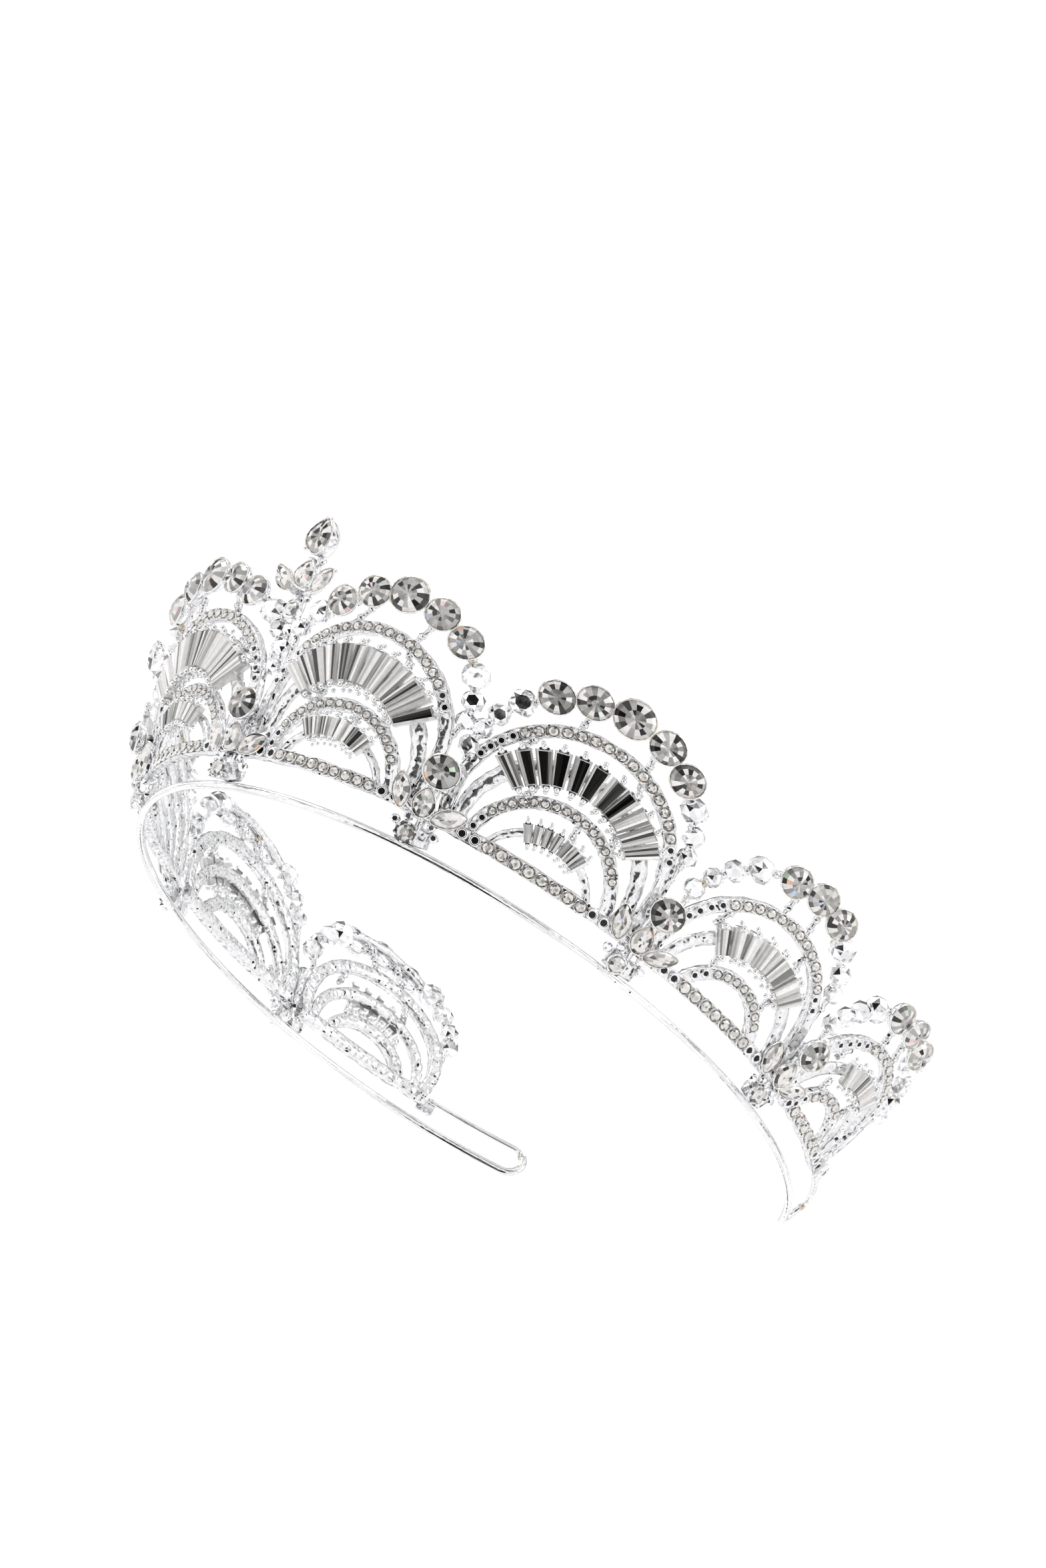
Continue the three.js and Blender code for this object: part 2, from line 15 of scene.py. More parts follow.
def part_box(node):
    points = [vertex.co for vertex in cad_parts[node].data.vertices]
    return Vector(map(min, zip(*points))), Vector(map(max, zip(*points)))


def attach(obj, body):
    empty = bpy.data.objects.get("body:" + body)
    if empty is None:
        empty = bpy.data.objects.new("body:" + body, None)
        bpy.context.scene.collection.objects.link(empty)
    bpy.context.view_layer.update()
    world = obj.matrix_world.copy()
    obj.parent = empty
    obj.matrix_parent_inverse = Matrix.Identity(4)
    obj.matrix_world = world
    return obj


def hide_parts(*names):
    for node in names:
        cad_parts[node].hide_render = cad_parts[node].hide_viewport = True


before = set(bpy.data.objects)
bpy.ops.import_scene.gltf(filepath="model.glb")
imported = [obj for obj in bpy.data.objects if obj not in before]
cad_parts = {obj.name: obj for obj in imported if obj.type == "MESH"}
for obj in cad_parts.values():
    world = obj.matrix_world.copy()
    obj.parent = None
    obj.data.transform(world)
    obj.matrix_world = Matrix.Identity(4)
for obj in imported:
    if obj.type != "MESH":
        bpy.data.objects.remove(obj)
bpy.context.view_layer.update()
MM = 0.001

# ---------- the band's plan and the leaning wall, in millimetres ----------

BAND_THICKNESS = 1.3
BAND_HEIGHT = 1.6
BAND_RADII = (48, 65, 83, 88, 75, 72)
RADIUS_SPACING = 35
FRONT_LEAN = 9.7
SIDE_LEAN = 23
LEAN_SETTLES_AT = 75
CLUSTERS_AT = (0, 40.2, 83.4, 123.5)
ORNAMENT_END = 157.5
LOOP_END = 178.5
LOOP_HEIGHT = 6.6
RETURN_WIRE = 1.1
BAND_TURN = 130
PLAN_STEP = 0.5

FRONT_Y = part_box("head_band")[0].y / MM + BAND_THICKNESS / 2


def lerp(a, b, t):
    return a + (b - a) * t


def band_radius(along):
    place = min(along / RADIUS_SPACING, len(BAND_RADII) - 1.001)
    i = int(place)
    return lerp(BAND_RADII[i], BAND_RADII[i + 1], place - i)


def draw_plan():
    plan = [(0.0, 0.0, 0.0)]
    along = 0.0
    while along < LOOP_END + 5:
        x, y, last = plan[-1]
        turn = last + PLAN_STEP / band_radius(along + PLAN_STEP / 2)
        middle = (turn + last) / 2
        plan.append((x + PLAN_STEP * math.cos(middle), y + PLAN_STEP * math.sin(middle), turn))
        along += PLAN_STEP
    return plan


PLAN = draw_plan()


def plan_at(along):
    place = abs(along) / PLAN_STEP
    i = min(int(place), len(PLAN) - 2)
    x, y, turn = (lerp(a, b, place - i) for a, b in zip(PLAN[i], PLAN[i + 1]))
    mirror = -1 if along < 0 else 1
    return mirror * x, y, mirror * turn


def wall_axes(along, share=1.0):
    turn = plan_at(along)[2]
    rest = max(0.0, 1 - abs(along) / LEAN_SETTLES_AT)
    lean = math.radians(SIDE_LEAN - (SIDE_LEAN - FRONT_LEAN) * rest * rest) * share
    forward = Vector((math.cos(turn), math.sin(turn), 0))
    outward = Vector((math.sin(turn), -math.cos(turn), 0))
    up = outward * math.sin(lean) + Vector((0, 0, math.cos(lean)))
    normal = outward * math.cos(lean) - Vector((0, 0, math.sin(lean)))
    return forward, up, normal


def on_wall(along, height, out):
    x, y, _ = plan_at(along)
    _, up, normal = wall_axes(along)
    return Vector((x, y + FRONT_Y, BAND_HEIGHT / 2)) + up * height + normal * out


# ---------- mesh building ----------

CAST, POLISHED, RIM, GEM = range(4)
PLAIN = (1.0, 1.0, 1.0)


class Shell:
    """The faces of one piece, in wall millimetres, each with a material, a colour and smoothing; on
    stones the colour carries painted light and shade.
    """

    def __init__(self):
        self.verts = []
        self.faces = []
        self.kinds = []
        self.painted_light_tints = []
        self.smooth = []

    def add(self, verts, faces, place, kind, painted_light_tints=None, smooth=False):
        start = len(self.verts)
        self.verts.extend(place @ Vector(v) for v in verts)
        for i, face in enumerate(faces):
            self.faces.append([start + k for k in face])
            self.kinds.append(kind)
            self.painted_light_tints.append(painted_light_tints[i] if painted_light_tints else PLAIN)
            self.smooth.append(smooth)

    def finish(self, name, to_world, side, replaced):
        mesh = bpy.data.meshes.new(name)
        points = []
        for v in self.verts:
            spot = to_world(v)
            points.append((side * spot.x * MM, spot.y * MM, spot.z * MM))
        faces = [face[::-1] for face in self.faces] if side < 0 else self.faces
        mesh.from_pydata(points, [], faces)
        for material in MATERIALS:
            mesh.materials.append(material)
        mesh.polygons.foreach_set("material_index", self.kinds)
        mesh.polygons.foreach_set("use_smooth", self.smooth)
        # Each face's colour; on stones it holds painted light and shade, facet by facet.
        layer = mesh.color_attributes.new("painted_light_tint", "FLOAT_COLOR", "CORNER")
        for polygon, painted_light_tint in zip(mesh.polygons, self.painted_light_tints):
            for k in polygon.loop_indices:
                layer.data[k].color = (*painted_light_tint, 1.0)
        mesh.update()
        piece = bpy.data.objects.new(name, mesh)
        bpy.context.scene.collection.objects.link(piece)
        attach(piece, "root")
        if replaced:
            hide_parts(*replaced)
        return piece


def at(u, h, out=0.0, spin=0.0, lean=0.0, swing=0.0):
    """A placement on the wall: spin turns in the wall, lean tips the top out, swing turns it aside."""
    turn = Matrix.Rotation(math.radians(spin), 4, "Z")
    tip = Matrix.Rotation(math.radians(lean), 4, "X")
    aside = Matrix.Rotation(math.radians(swing), 4, "Y")
    return Matrix.Translation((u, h, out)) @ turn @ aside @ tip


def loose(u, h, out, rng, most):
    """A placement turned at random in the wall, and tipped by up to most degrees."""
    return at(u, h, out, rng.uniform(0, 60), rng.uniform(-most, most), rng.uniform(-most, most))


def round_outline(angle):
    return math.cos(angle), math.sin(angle)


def pear_outline(angle):
    """A drop with its point at +Y, one unit tall each way."""
    x, y = math.cos(angle), math.sin(angle)
    narrow = 1 - 0.5 * max(0.0, y) ** 1.6
    return x * 0.78 * narrow, y * (1.0 if y > 0 else 0.88)


def marquise_outline(angle):
    x, y = math.cos(angle), math.sin(angle)
    return x * 0.52 * (1 - 0.4 * abs(y) ** 2.4), y


def turned(rings, sides, outline=round_outline, wide=1.0, tall=1.0, twist=False, stretch=1.0):
    """Rings of (scale, z) joined into a closed solid. twist turns each second ring half a step."""
    verts = []
    for k, (scale, z) in enumerate(rings):
        offset = 0.5 * (k % 2) if twist else 0.0
        for i in range(sides):
            x, y = outline(2 * math.pi * (i + offset) / sides + math.pi / 2)
            verts.append((x * scale * wide, y * scale * tall * stretch, z))
    faces = []
    for k in range(len(rings) - 1):
        a, b = k * sides, (k + 1) * sides
        for i in range(sides):
            j = (i + 1) % sides
            if not twist:
                faces.append((a + i, a + j, b + j, b + i))
            elif k % 2 == 0:
                faces.append((a + i, a + j, b + i))
                faces.append((b + i, a + j, b + j))
            else:
                faces.append((a + i, b + j, b + i))
                faces.append((a + i, a + j, b + j))
    faces.append(tuple(reversed(range(sides))))
    top = (len(rings) - 1) * sides
    faces.append(tuple(top + i for i in range(sides)))
    return verts, faces


# Crown levels of a stone: (share of the radius, share of the height).
CROWN = ((1.0, 0.0), (1.0, 0.24), (0.82, 0.66), (0.5, 0.97), (0.24, 0.9), (0.05, 0.82))
# Colours of the coloured glint painted on a few facets.
PAINTED_GLINTS = ((0.95, 0.6, 0.4), (0.6, 0.72, 1.0), (0.92, 0.66, 0.7), (0.7, 0.88, 0.66))


def grey(value, warmth=0.95):
    return value, value * lerp(1.0, warmth, 0.4), value * warmth


def painted_foil_flashes(rng, sides, tone):
    """Painted light of a big stone's rings: dark, middle and bright sectors in turn, painted reflections
    of its foil back.

    tone is 0 for a stone painted mostly with dark reflections, and 1 for one painted mostly bright.
    """
    sectors = []
    for k in range(sides):
        if k % 2 == 0:
            is_dark = rng.random() > 0.8 * tone
            sectors.append(rng.uniform(0.01, 0.07) if is_dark else rng.uniform(0.3, 0.55))
        else:
            is_bright = rng.random() < 0.4 + 0.5 * tone
            sectors.append(rng.uniform(0.85, 1.0) if is_bright else rng.uniform(0.35, 0.6))
    slope = [value if rng.random() < 0.55 else rng.choice((0.15, 0.5, 0.95)) for value in sectors]
    table = [
        rng.uniform(0.25, 0.55) if rng.random() < 0.65 else rng.choice((0.06, 0.95))
        for _ in sectors
    ]
    middle = [lerp(value, 0.6, 0.5) for value in table]
    return [slope, sectors, table, middle]


def painted_small_foil_flashes(rng, sides, tone):
    """Painted light of a small stone's rings: a slope painted darker round a table painted light,
    standing in for reflections.
    """
    slope = [rng.uniform(0.16, 0.34) if k % 2 else rng.uniform(0.5, 0.8) for k in range(sides)]
    bright = 0.55 + 0.35 * tone
    upper = [rng.uniform(0.85, 1.0) if rng.random() < bright else 0.2 for _ in range(sides)]
    table = [rng.uniform(0.7, 0.95)] * sides
    middle = [rng.uniform(0.35, 1.0)] * sides
    return [slope, upper, table, middle]


def clear(rng, sides, tone):
    """Painted light of a clear stone's rings: nearly white, with a few facets painted grey and a dark
    one, as reflections.
    """
    rings = []
    for share in (0.75, 0.62, 0.7, 0.9):
        ring = []
        for _ in range(sides):
            is_white = rng.random() < share * tone
            ring.append(rng.uniform(0.94, 1.0) if is_white else rng.choice((0.66, 0.5, 0.32, 0.1)))
        rings.append(ring)
    return rings


def gem(shell, place, radius, height, rng, sides=8, outline=round_outline, wide=1.0, tall=1.0,
        tone=0.5, paint=painted_foil_flashes, painted_glint_chance=0.02):
    """A stone with a crown of facets in rings, each facet painted with its own level of light and shade.
    """
    rings = [(radius * scale, height * z) for scale, z in CROWN]
    verts, faces = turned(rings, sides, outline, wide, tall)
    levels = [[0.5] * sides, *paint(rng, sides, tone)]
    painted_light_tints = []
    for i in range(len(faces)):
        ring, k = divmod(i, sides)
        level = levels[ring][k] if ring < len(levels) else 0.6
        # A few facets get a painted coloured glint; the rest get their painted level of light.
        painted_light_tints.append(rng.choice(PAINTED_GLINTS) if rng.random() < painted_glint_chance else grey(level, 0.94))
    shell.add(verts, faces, place, GEM, painted_light_tints)


def cup(shell, place, radius, back, lip, outline=round_outline, wide=1.0, tall=1.0, sides=20):
    """A bezel: outer wall, rounded lip, thin warm line inside it, and a floor under the stone."""
    outer = [(0.72, back), (0.9, back + 0.35 * (lip - back)), (1.0, lip - 0.25), (0.99, lip)]
    rings = [(radius * scale, z) for scale, z in outer] + [(radius * 0.94, lip + 0.04)]
    verts, faces = turned(rings, sides, outline, wide, tall)
    faces.pop()
    shell.add(verts, faces, place, POLISHED, smooth=True)
    rim = [(radius * 0.94, lip + 0.04), (radius * 0.9, lip - 0.05), (radius * 0.88, lip - 0.5)]
    verts, faces = turned(rim, sides, outline, wide, tall)
    shell.add(verts, [faces[i] for i in range(len(faces)) if i != len(faces) - 2], place, RIM)


def ball(shell, place, radius, kind=POLISHED, sides=8, stretch=1.0):
    steps = 5
    rings = []
    for i in range(steps + 1):
        angle = math.pi * (i / steps - 0.5)
        rings.append((radius * max(0.12, math.cos(angle)), radius * stretch * math.sin(angle)))
    verts, faces = turned(rings, sides)
    shell.add(verts, faces, place, kind, smooth=True)


def cut_bead(shell, place, radius, sides=6):
    """A metal bead with flat facets all round and a flat front."""
    levels = ((0.42, -0.85), (0.86, -0.5), (1.0, 0.0), (0.9, 0.45), (0.5, 0.84))
    verts, faces = turned([(radius * s, radius * z) for s, z in levels], sides, twist=True)
    shell.add(verts, faces, place, POLISHED)


def empty_setting(shell, place, radius):
    """A raised ring with no stone in it, with a near-black disc across its hollow as painted shade."""
    ring = [(radius, -0.3), (radius, 0.1), (radius * 0.85, 0.25)]
    ring += [(radius * 0.62, 0.2), (radius * 0.55, 0.05)]
    verts, faces = turned(ring, 12)
    pit = faces.pop()
    shell.add(verts, faces, place, POLISHED, smooth=True)
    # The disc across the hollow is painted near black as shade.
    shell.add([verts[k] for k in pit], [tuple(range(12))], place, GEM, [grey(0.01)])


def sweep(shell, path, section, kind=CAST, width=None, smooth=True, wobble=None):
    """Sweeps section, a closed list of (across, out), along path, a list of (u, h)."""
    count = len(path)
    verts = []
    for i, (u, h) in enumerate(path):
        a, b = path[max(0, i - 1)], path[min(count - 1, i + 1)]
        length = math.hypot(b[0] - a[0], b[1] - a[1]) or 1.0
        nx, ny = -(b[1] - a[1]) / length, (b[0] - a[0]) / length
        scale = width(i / (count - 1)) if width else 1.0
        for across, out in section:
            shake = 1 + (wobble.uniform(-0.09, 0.09) if wobble else 0.0)
            verts.append((u + nx * across * scale * shake, h + ny * across * scale * shake, out))
    n = len(section)
    faces = []
    for i in range(count - 1):
        a, b = i * n, (i + 1) * n
        for k in range(n):
            j = (k + 1) % n
            faces.append((a + k, a + j, b + j, b + k))
    faces.append(tuple(range(n)))
    faces.append(tuple(reversed(range((count - 1) * n, count * n))))
    shell.add(verts, [face[::-1] for face in faces], Matrix.Identity(4), kind, smooth=smooth)


def oval_section(half_width, back, front, sides=8):
    middle, reach = (front + back) / 2, (front - back) / 2
    return [
        (half_width * math.cos(turn), middle + reach * math.sin(turn))
        for turn in (2 * math.pi * k / sides for k in range(sides))
    ]


def trough_section(half, back, front, lip):
    """A rail with a raised lip along each edge, which pave stones sit between."""
    floor = front - 0.16
    return [
        (half, back + 0.3), (half, front - 0.15), (half - lip * 0.5, front), (half - lip, floor),
        (lip - half, floor), (lip * 0.5 - half, front), (-half, front - 0.15), (-half, back + 0.3),
        (-half * 0.6, back), (half * 0.6, back),
    ]


# ---------- the fans ----------

BACK, FRONT = -0.9, 0.9
VALLEY_HEIGHT = 21.3
CENTRE_VALLEY_HEIGHT = 27.7
BEAD_RADII = (2.5, 2.05, 1.85)
VALLEY_BEAD_RADIUS = 2.0
STONE_OVERLAP = 0.3
PAVE_FILL = 0.47
BAR_FILL = 0.48
LARGEST_PAVE = 1.12
PAVE_SETTING_PITCH = 2.1
BAR_SETTING_PITCH = 2.5


def arch(apex, radius, width, stones=0, start=0.0, end=0.0, shift=0.0):
    return {
        "apex": apex, "radius": radius, "width": width, "stones": stones,
        "start": start, "end": end, "shift": shift,
    }


def baguettes(apex, radius, count, length, spread, rail):
    return {**arch(apex, radius, rail), "count": count, "length": length, "spread": spread}


# The same arches as the CAD fans. start and end are the angles between which stones are set, and
# tuck says how far short of the next fan the beads end, on the inner and the outer side.
FANS = (
    {
        "crest": {"apex": 41.4, "radius": 18.4, "shift": 1, "stones": (3.1, 3.1, 3.6, 3.1, 3.1)},
        "tuck": (0, 1.3),
        "inner_beads": 2,
        "pave": arch(34.2, 17.9, 2.1, 15, -48, 46),
        "baguettes": baguettes(26.8, 15.2, 12, 7.6, 54, 3.0),
        "inner_pave": arch(19.4, 12.6, 2.0, 15, -60, 60),
        "small": baguettes(14.6, 11, 8, 3.8, 33, 1.7),
        "bar": (7.3, 9, 2.32),
    },
    {
        "crest": {"apex": 39.6, "radius": 20.3, "shift": 0, "stones": (3.1, 3.1, 3.6, 3.1, 3.1)},
        "tuck": (1.5, 1.7),
        "inner_beads": 3,
        "pave": arch(33, 19.2, 2.1, 15, -43, 51),
        "baguettes": baguettes(26.2, 16.4, 11, 6.4, 53, 3.0),
        "inner_pave": arch(19.6, 13.7, 2.0, 16, -59, 56),
        "small": baguettes(13.8, 11.2, 7, 3.4, 30, 1.7),
        "bar": (6.9, 8, 2.66),
    },
    {
        "crest": {"apex": 35, "radius": 18, "shift": -0.4, "stones": (3.1, 3.1, 3.1)},
        "tuck": (1.8, 3.2),
        "inner_beads": 3,
        "pave": arch(27.7, 17.6, 2.1, 12, -39, 42),
        "baguettes": baguettes(20.4, 15.2, 8, 5.2, 40, 2.8),
        "inner_pave": arch(13.8, 10.2, 2.0, 8, -30, 50),
        "small": None,
        "bar": (6.8, 7, 2.75),
    },
    {
        "crest": {"apex": 33.2, "radius": 15.4, "shift": -2, "stones": (3.1, 3.1, 3.1)},
        "tuck": (0.6, 1.5),
        "inner_beads": 3,
        "pave": arch(26.1, 14.7, 2.1, 7, -20, 38),
        "baguettes": baguettes(19.6, 12.2, 5, 4.2, 28, 2.6),
        "inner_pave": arch(13.4, 8.6, 2.0, 5, -44, 18),
        "small": None,
        "bar": (6.4, 6, 2.8),
    },
)


def on_arch(one, angle, offset=0.0):
    turn = math.radians(angle)
    radius = one["radius"] + offset
    centre = one["apex"] - one["radius"]
    return one.get("shift", 0) + radius * math.sin(turn), centre + radius * math.cos(turn)


def arch_path(one, foot, steps=44):
    """Up one leg, over the top and down the other. The legs draw in a little towards the bar."""
    centre = one["apex"] - one["radius"]
    limit = 90.0
    if centre < foot:
        limit = math.degrees(math.acos((foot - centre) / one["radius"]))
    path = [on_arch(one, lerp(-limit, limit, i / steps)) for i in range(steps + 1)]
    if centre > foot:
        legs = 6
        reach = centre - foot
        for i in range(1, legs + 1):
            down = reach * i / legs
            x = one["radius"] * (1 - 0.045 * (i / legs) ** 2)
            path.insert(0, (-x, centre - down))
            path.append((x, centre - down))
    return path


def crest_stones(fan):
    stones, radius = fan["crest"]["stones"], fan["crest"]["radius"]
    angles = [0.0]
    for before, size in zip(stones, stones[1:]):
        angles.append(angles[-1] + math.degrees((before + size - STONE_OVERLAP) / radius))
    middle = angles[-1] / 2
    return [(size, angle - middle) for size, angle in zip(stones, angles)]


def crest_beads(fan, valley, direction, count):
    """(size, (u, h)) of the metal beads from the last stone down to the valley on one side."""
    crest = fan["crest"]
    last_size, last_angle = crest_stones(fan)[-1]
    centre = crest["apex"] - crest["radius"]
    dx, dy = valley[0] - crest["shift"], valley[1] - centre
    end_angle, end_radius = math.degrees(math.atan2(abs(dx), dy)), math.hypot(dx, dy)
    sizes = [last_size, *BEAD_RADII[:count], VALLEY_BEAD_RADIUS]
    reach = [a + b for a, b in zip(sizes, sizes[1:])]
    travelled = 0.0
    beads = []
    for size, step in zip(BEAD_RADII[:count], reach):
        travelled += step
        share = travelled / sum(reach)
        angle = lerp(last_angle, end_angle, share)
        radius = lerp(crest["radius"], end_radius, share)
        one = {"apex": centre + radius, "radius": radius, "shift": crest["shift"]}
        beads.append((size, on_arch(one, direction * angle)))
    return beads


def tie(shell, start, end):
    """A short link between two arches: a thin stem with a knob either side of its middle."""
    u, h = (start[0] + end[0]) / 2, (start[1] + end[1]) / 2
    sweep(shell, [start, (u, h), end], oval_section(0.5, -0.6, 0.55, 6))
    for share in (0.3, 0.7):
        place = at(lerp(start[0], end[0], share), lerp(start[1], end[1], share), 0.1)
        ball(shell, place, 0.78, CAST, 6)


def leg_taper(share):
    """The width of a baguette arch along its path: full on top and narrower at its feet."""
    return 0.74 + 0.26 * math.sin(math.pi * share) ** 0.5


def fan_metal(shell, fan, half, is_first, is_last, rng):
    pave, fanned, inner, small = fan["pave"], fan["baguettes"], fan["inner_pave"], fan["small"]
    bar_height, bar_count, bar_pitch = fan["bar"]
    for one in (pave, inner):
        sweep(shell, arch_path(one, bar_height), trough_section(1.2, BACK, FRONT, 0.4), wobble=rng)
    for one in (fanned, small):
        if one:
            span = one["width"] / 2
            section = oval_section(span, BACK, FRONT - 0.1, 10)
            sweep(shell, arch_path(one, bar_height), section, width=leg_taper, wobble=rng)
    # Small empty settings carry on from each row of pave stones.
    for one, count in ((pave, 4), (inner, 2)):
        for edge, direction in ((one["start"], -1), (one["end"], 1)):
            for k in range(count if direction < 0 else count - 2):
                angle = edge + direction * math.degrees((k + 1) * PAVE_SETTING_PITCH / one["radius"])
                empty_setting(shell, at(*on_arch(one, angle), FRONT - 0.05), 0.85)
    # The base bar, with empty settings past the last stone on each side.
    end = half - 1.4
    bar = [(lerp(-end, end, i / 24), bar_height) for i in range(25)]
    sweep(shell, bar, trough_section(1.3, BACK - 0.1, FRONT, 0.3), wobble=rng)
    stones_end = (bar_count - 1) / 2 * bar_pitch + bar_pitch / 2
    place = stones_end + 1.2
    while place < end - 0.2:
        for direction in (-1, 1):
            empty_setting(shell, at(direction * place, bar_height, FRONT), 1.12)
        place += BAR_SETTING_PITCH
    # The crest: a rail behind the stones, and a chain of beads down to each valley.
    inner_tuck, outer_tuck = fan["tuck"]
    outer_valley = (half - outer_tuck, VALLEY_HEIGHT)
    inner_valley = (inner_tuck - half, CENTRE_VALLEY_HEIGHT if is_first else VALLEY_HEIGHT)
    outer = crest_beads(fan, outer_valley, 1, len(BEAD_RADII))
    inside = crest_beads(fan, inner_valley, -1, fan["inner_beads"])
    if not is_first:
        inside.append((VALLEY_BEAD_RADIUS, inner_valley))
    if is_last:
        outer.append((VALLEY_BEAD_RADIUS, (half - VALLEY_BEAD_RADIUS, VALLEY_HEIGHT)))
    chain = [place for _, place in reversed(inside)]
    chain += [on_arch(fan["crest"], angle) for _, angle in crest_stones(fan)]
    chain += [place for _, place in outer]
    sweep(shell, chain, oval_section(0.7, -0.9, 0.6, 8))
    for size, (u, h) in inside + outer:
        cut_bead(shell, loose(u, h, 0.25, rng, 11), size * 1.02, 8 if size > 2.2 else 6)
    for a, b in zip(chain, chain[1:]):
        place = at((a[0] + b[0]) / 2, (a[1] + b[1]) / 2, 0.3)
        ball(shell, place, 0.85, RIM if rng.random() < 0.15 else CAST)
    # Ties between the arches.
    edge = crest_stones(fan)[-1][1]
    for angle in (-edge / 2, edge / 2):
        tie(shell, on_arch(pave, angle, 0.9), on_arch(fan["crest"], angle, -1.6))
    half_length = fanned["length"] / 2
    for angle in (-40, 22, 64):
        if angle < fanned["spread"] + 12:
            tie(shell, on_arch(fanned, angle, half_length), on_arch(pave, angle * 0.9, -0.9))
    for angle in (-36, 36):
        tie(shell, on_arch(inner, angle, 0.8), on_arch(fanned, angle * 0.92, -half_length))
    if small:
        tie(shell, on_arch(small, 8, small["length"] / 2), on_arch(inner, 8, -0.8))
    for direction, chain_end in ((-1, inside[-1][1]), (1, outer[-1][1])):
        centre = pave["apex"] - pave["radius"]
        low = min(chain_end[1], centre + 4)
        angle = 90 - math.degrees(math.asin((low - centre) / pave["radius"]))
        tie(shell, on_arch(pave, direction * angle, 0.6), chain_end)


def crest_row(shell, fan, rng, tone):
    for size, angle in crest_stones(fan):
        u, h = on_arch(fan["crest"], angle)
        place = at(u, h, 0, spin=-angle, swing=rng.uniform(-4, 4), lean=rng.uniform(-4, 4))
        cup(shell, place, size, FRONT - 0.1, 2.55)
        gem(shell, place @ Matrix.Translation((0, 0, 2.2)), size * 0.9, 1.3, rng, 16, tone=tone)


def pave_row(shell, one, rng, tone):
    count = one["stones"]
    for i in range(count):
        angle = lerp(one["start"], one["end"], i / (count - 1))
        u, h = on_arch(one, angle)
        step = (one["end"] - one["start"]) / (count - 1)
        radius = PAVE_FILL * math.radians(step) * one["radius"]
        place = at(u, h, FRONT - 0.25, spin=rng.uniform(0, 40))
        set_small_stone(shell, place, min(LARGEST_PAVE, radius), rng, tone)
        if i < count - 1:
            for offset in (-0.95, 0.95):
                prong = on_arch(one, angle + step / 2, offset)
                ball(shell, at(*prong, FRONT + 0.1), 0.24, POLISHED, 5)


def set_small_stone(shell, place, radius, rng, tone):
    """A bead-set stone: a bright raised ring, a warm line inside it, and the stone."""
    ring = [(radius, -0.1), (radius, 0.42), (radius * 0.93, 0.55)]
    verts, faces = turned(ring, 12)
    faces.pop()
    shell.add(verts, faces, place, POLISHED, smooth=True)
    verts, faces = turned([(radius * 0.93, 0.55), (radius * 0.82, 0.35)], 12)
    shell.add(verts, faces[:12], place, RIM)
    stone = place @ Matrix.Translation((0, 0, 0.24))
    gem(shell, stone, radius * 0.84, 0.62, rng, 10, tone=tone, paint=painted_small_foil_flashes, painted_glint_chance=0.006)


# Where the long facets of a baguette's table meet, from -1 to 1 across it.
TABLE_CUTS = (-1.0, -0.56, 0.05, 0.5, 1.0)
# (drop below the table, share drawn in) of a baguette's steps.
CROWN_INSETS = ((-1.9, 0.0), (-1.0, 0.0), (-0.45, 0.12), (0.0, 0.3))


def baguette_painted_light(rng, count, tone, is_dark):
    """Painted light and shade of one baguette: its back and crown steps, then the long facets of its
    table.
    """
    strips = len(TABLE_CUTS) - 1
    painted_light_tints = []
    for _ in range(count - strips):
        painted_light_tints.append(grey(rng.choice((0.5, 0.8, 0.95, 1.0)), 0.965))
    # The table's strips are painted as reflections: near black on a dark baguette, with one outer strip
    # sometimes lighter, and in light and dark lines on the others.
    if is_dark:
        table = [rng.uniform(0.003, 0.03) for _ in range(strips)]
        table[rng.choice((0, strips - 1))] = rng.choice((0.02, 0.3, 0.7))
    else:
        lines = (0.06, 0.25, 0.5, 0.7, 0.88, 1.0)
        table = [rng.choice(lines if rng.random() > tone * 0.5 else lines[3:]) for _ in range(strips)]
    painted_light_tints += [grey(value, 0.965) for value in table]
    # Now and then one strip gets a painted coloured glint instead.
    if rng.random() < 0.04:
        painted_light_tints[-2] = rng.choice(PAINTED_GLINTS)
    return painted_light_tints


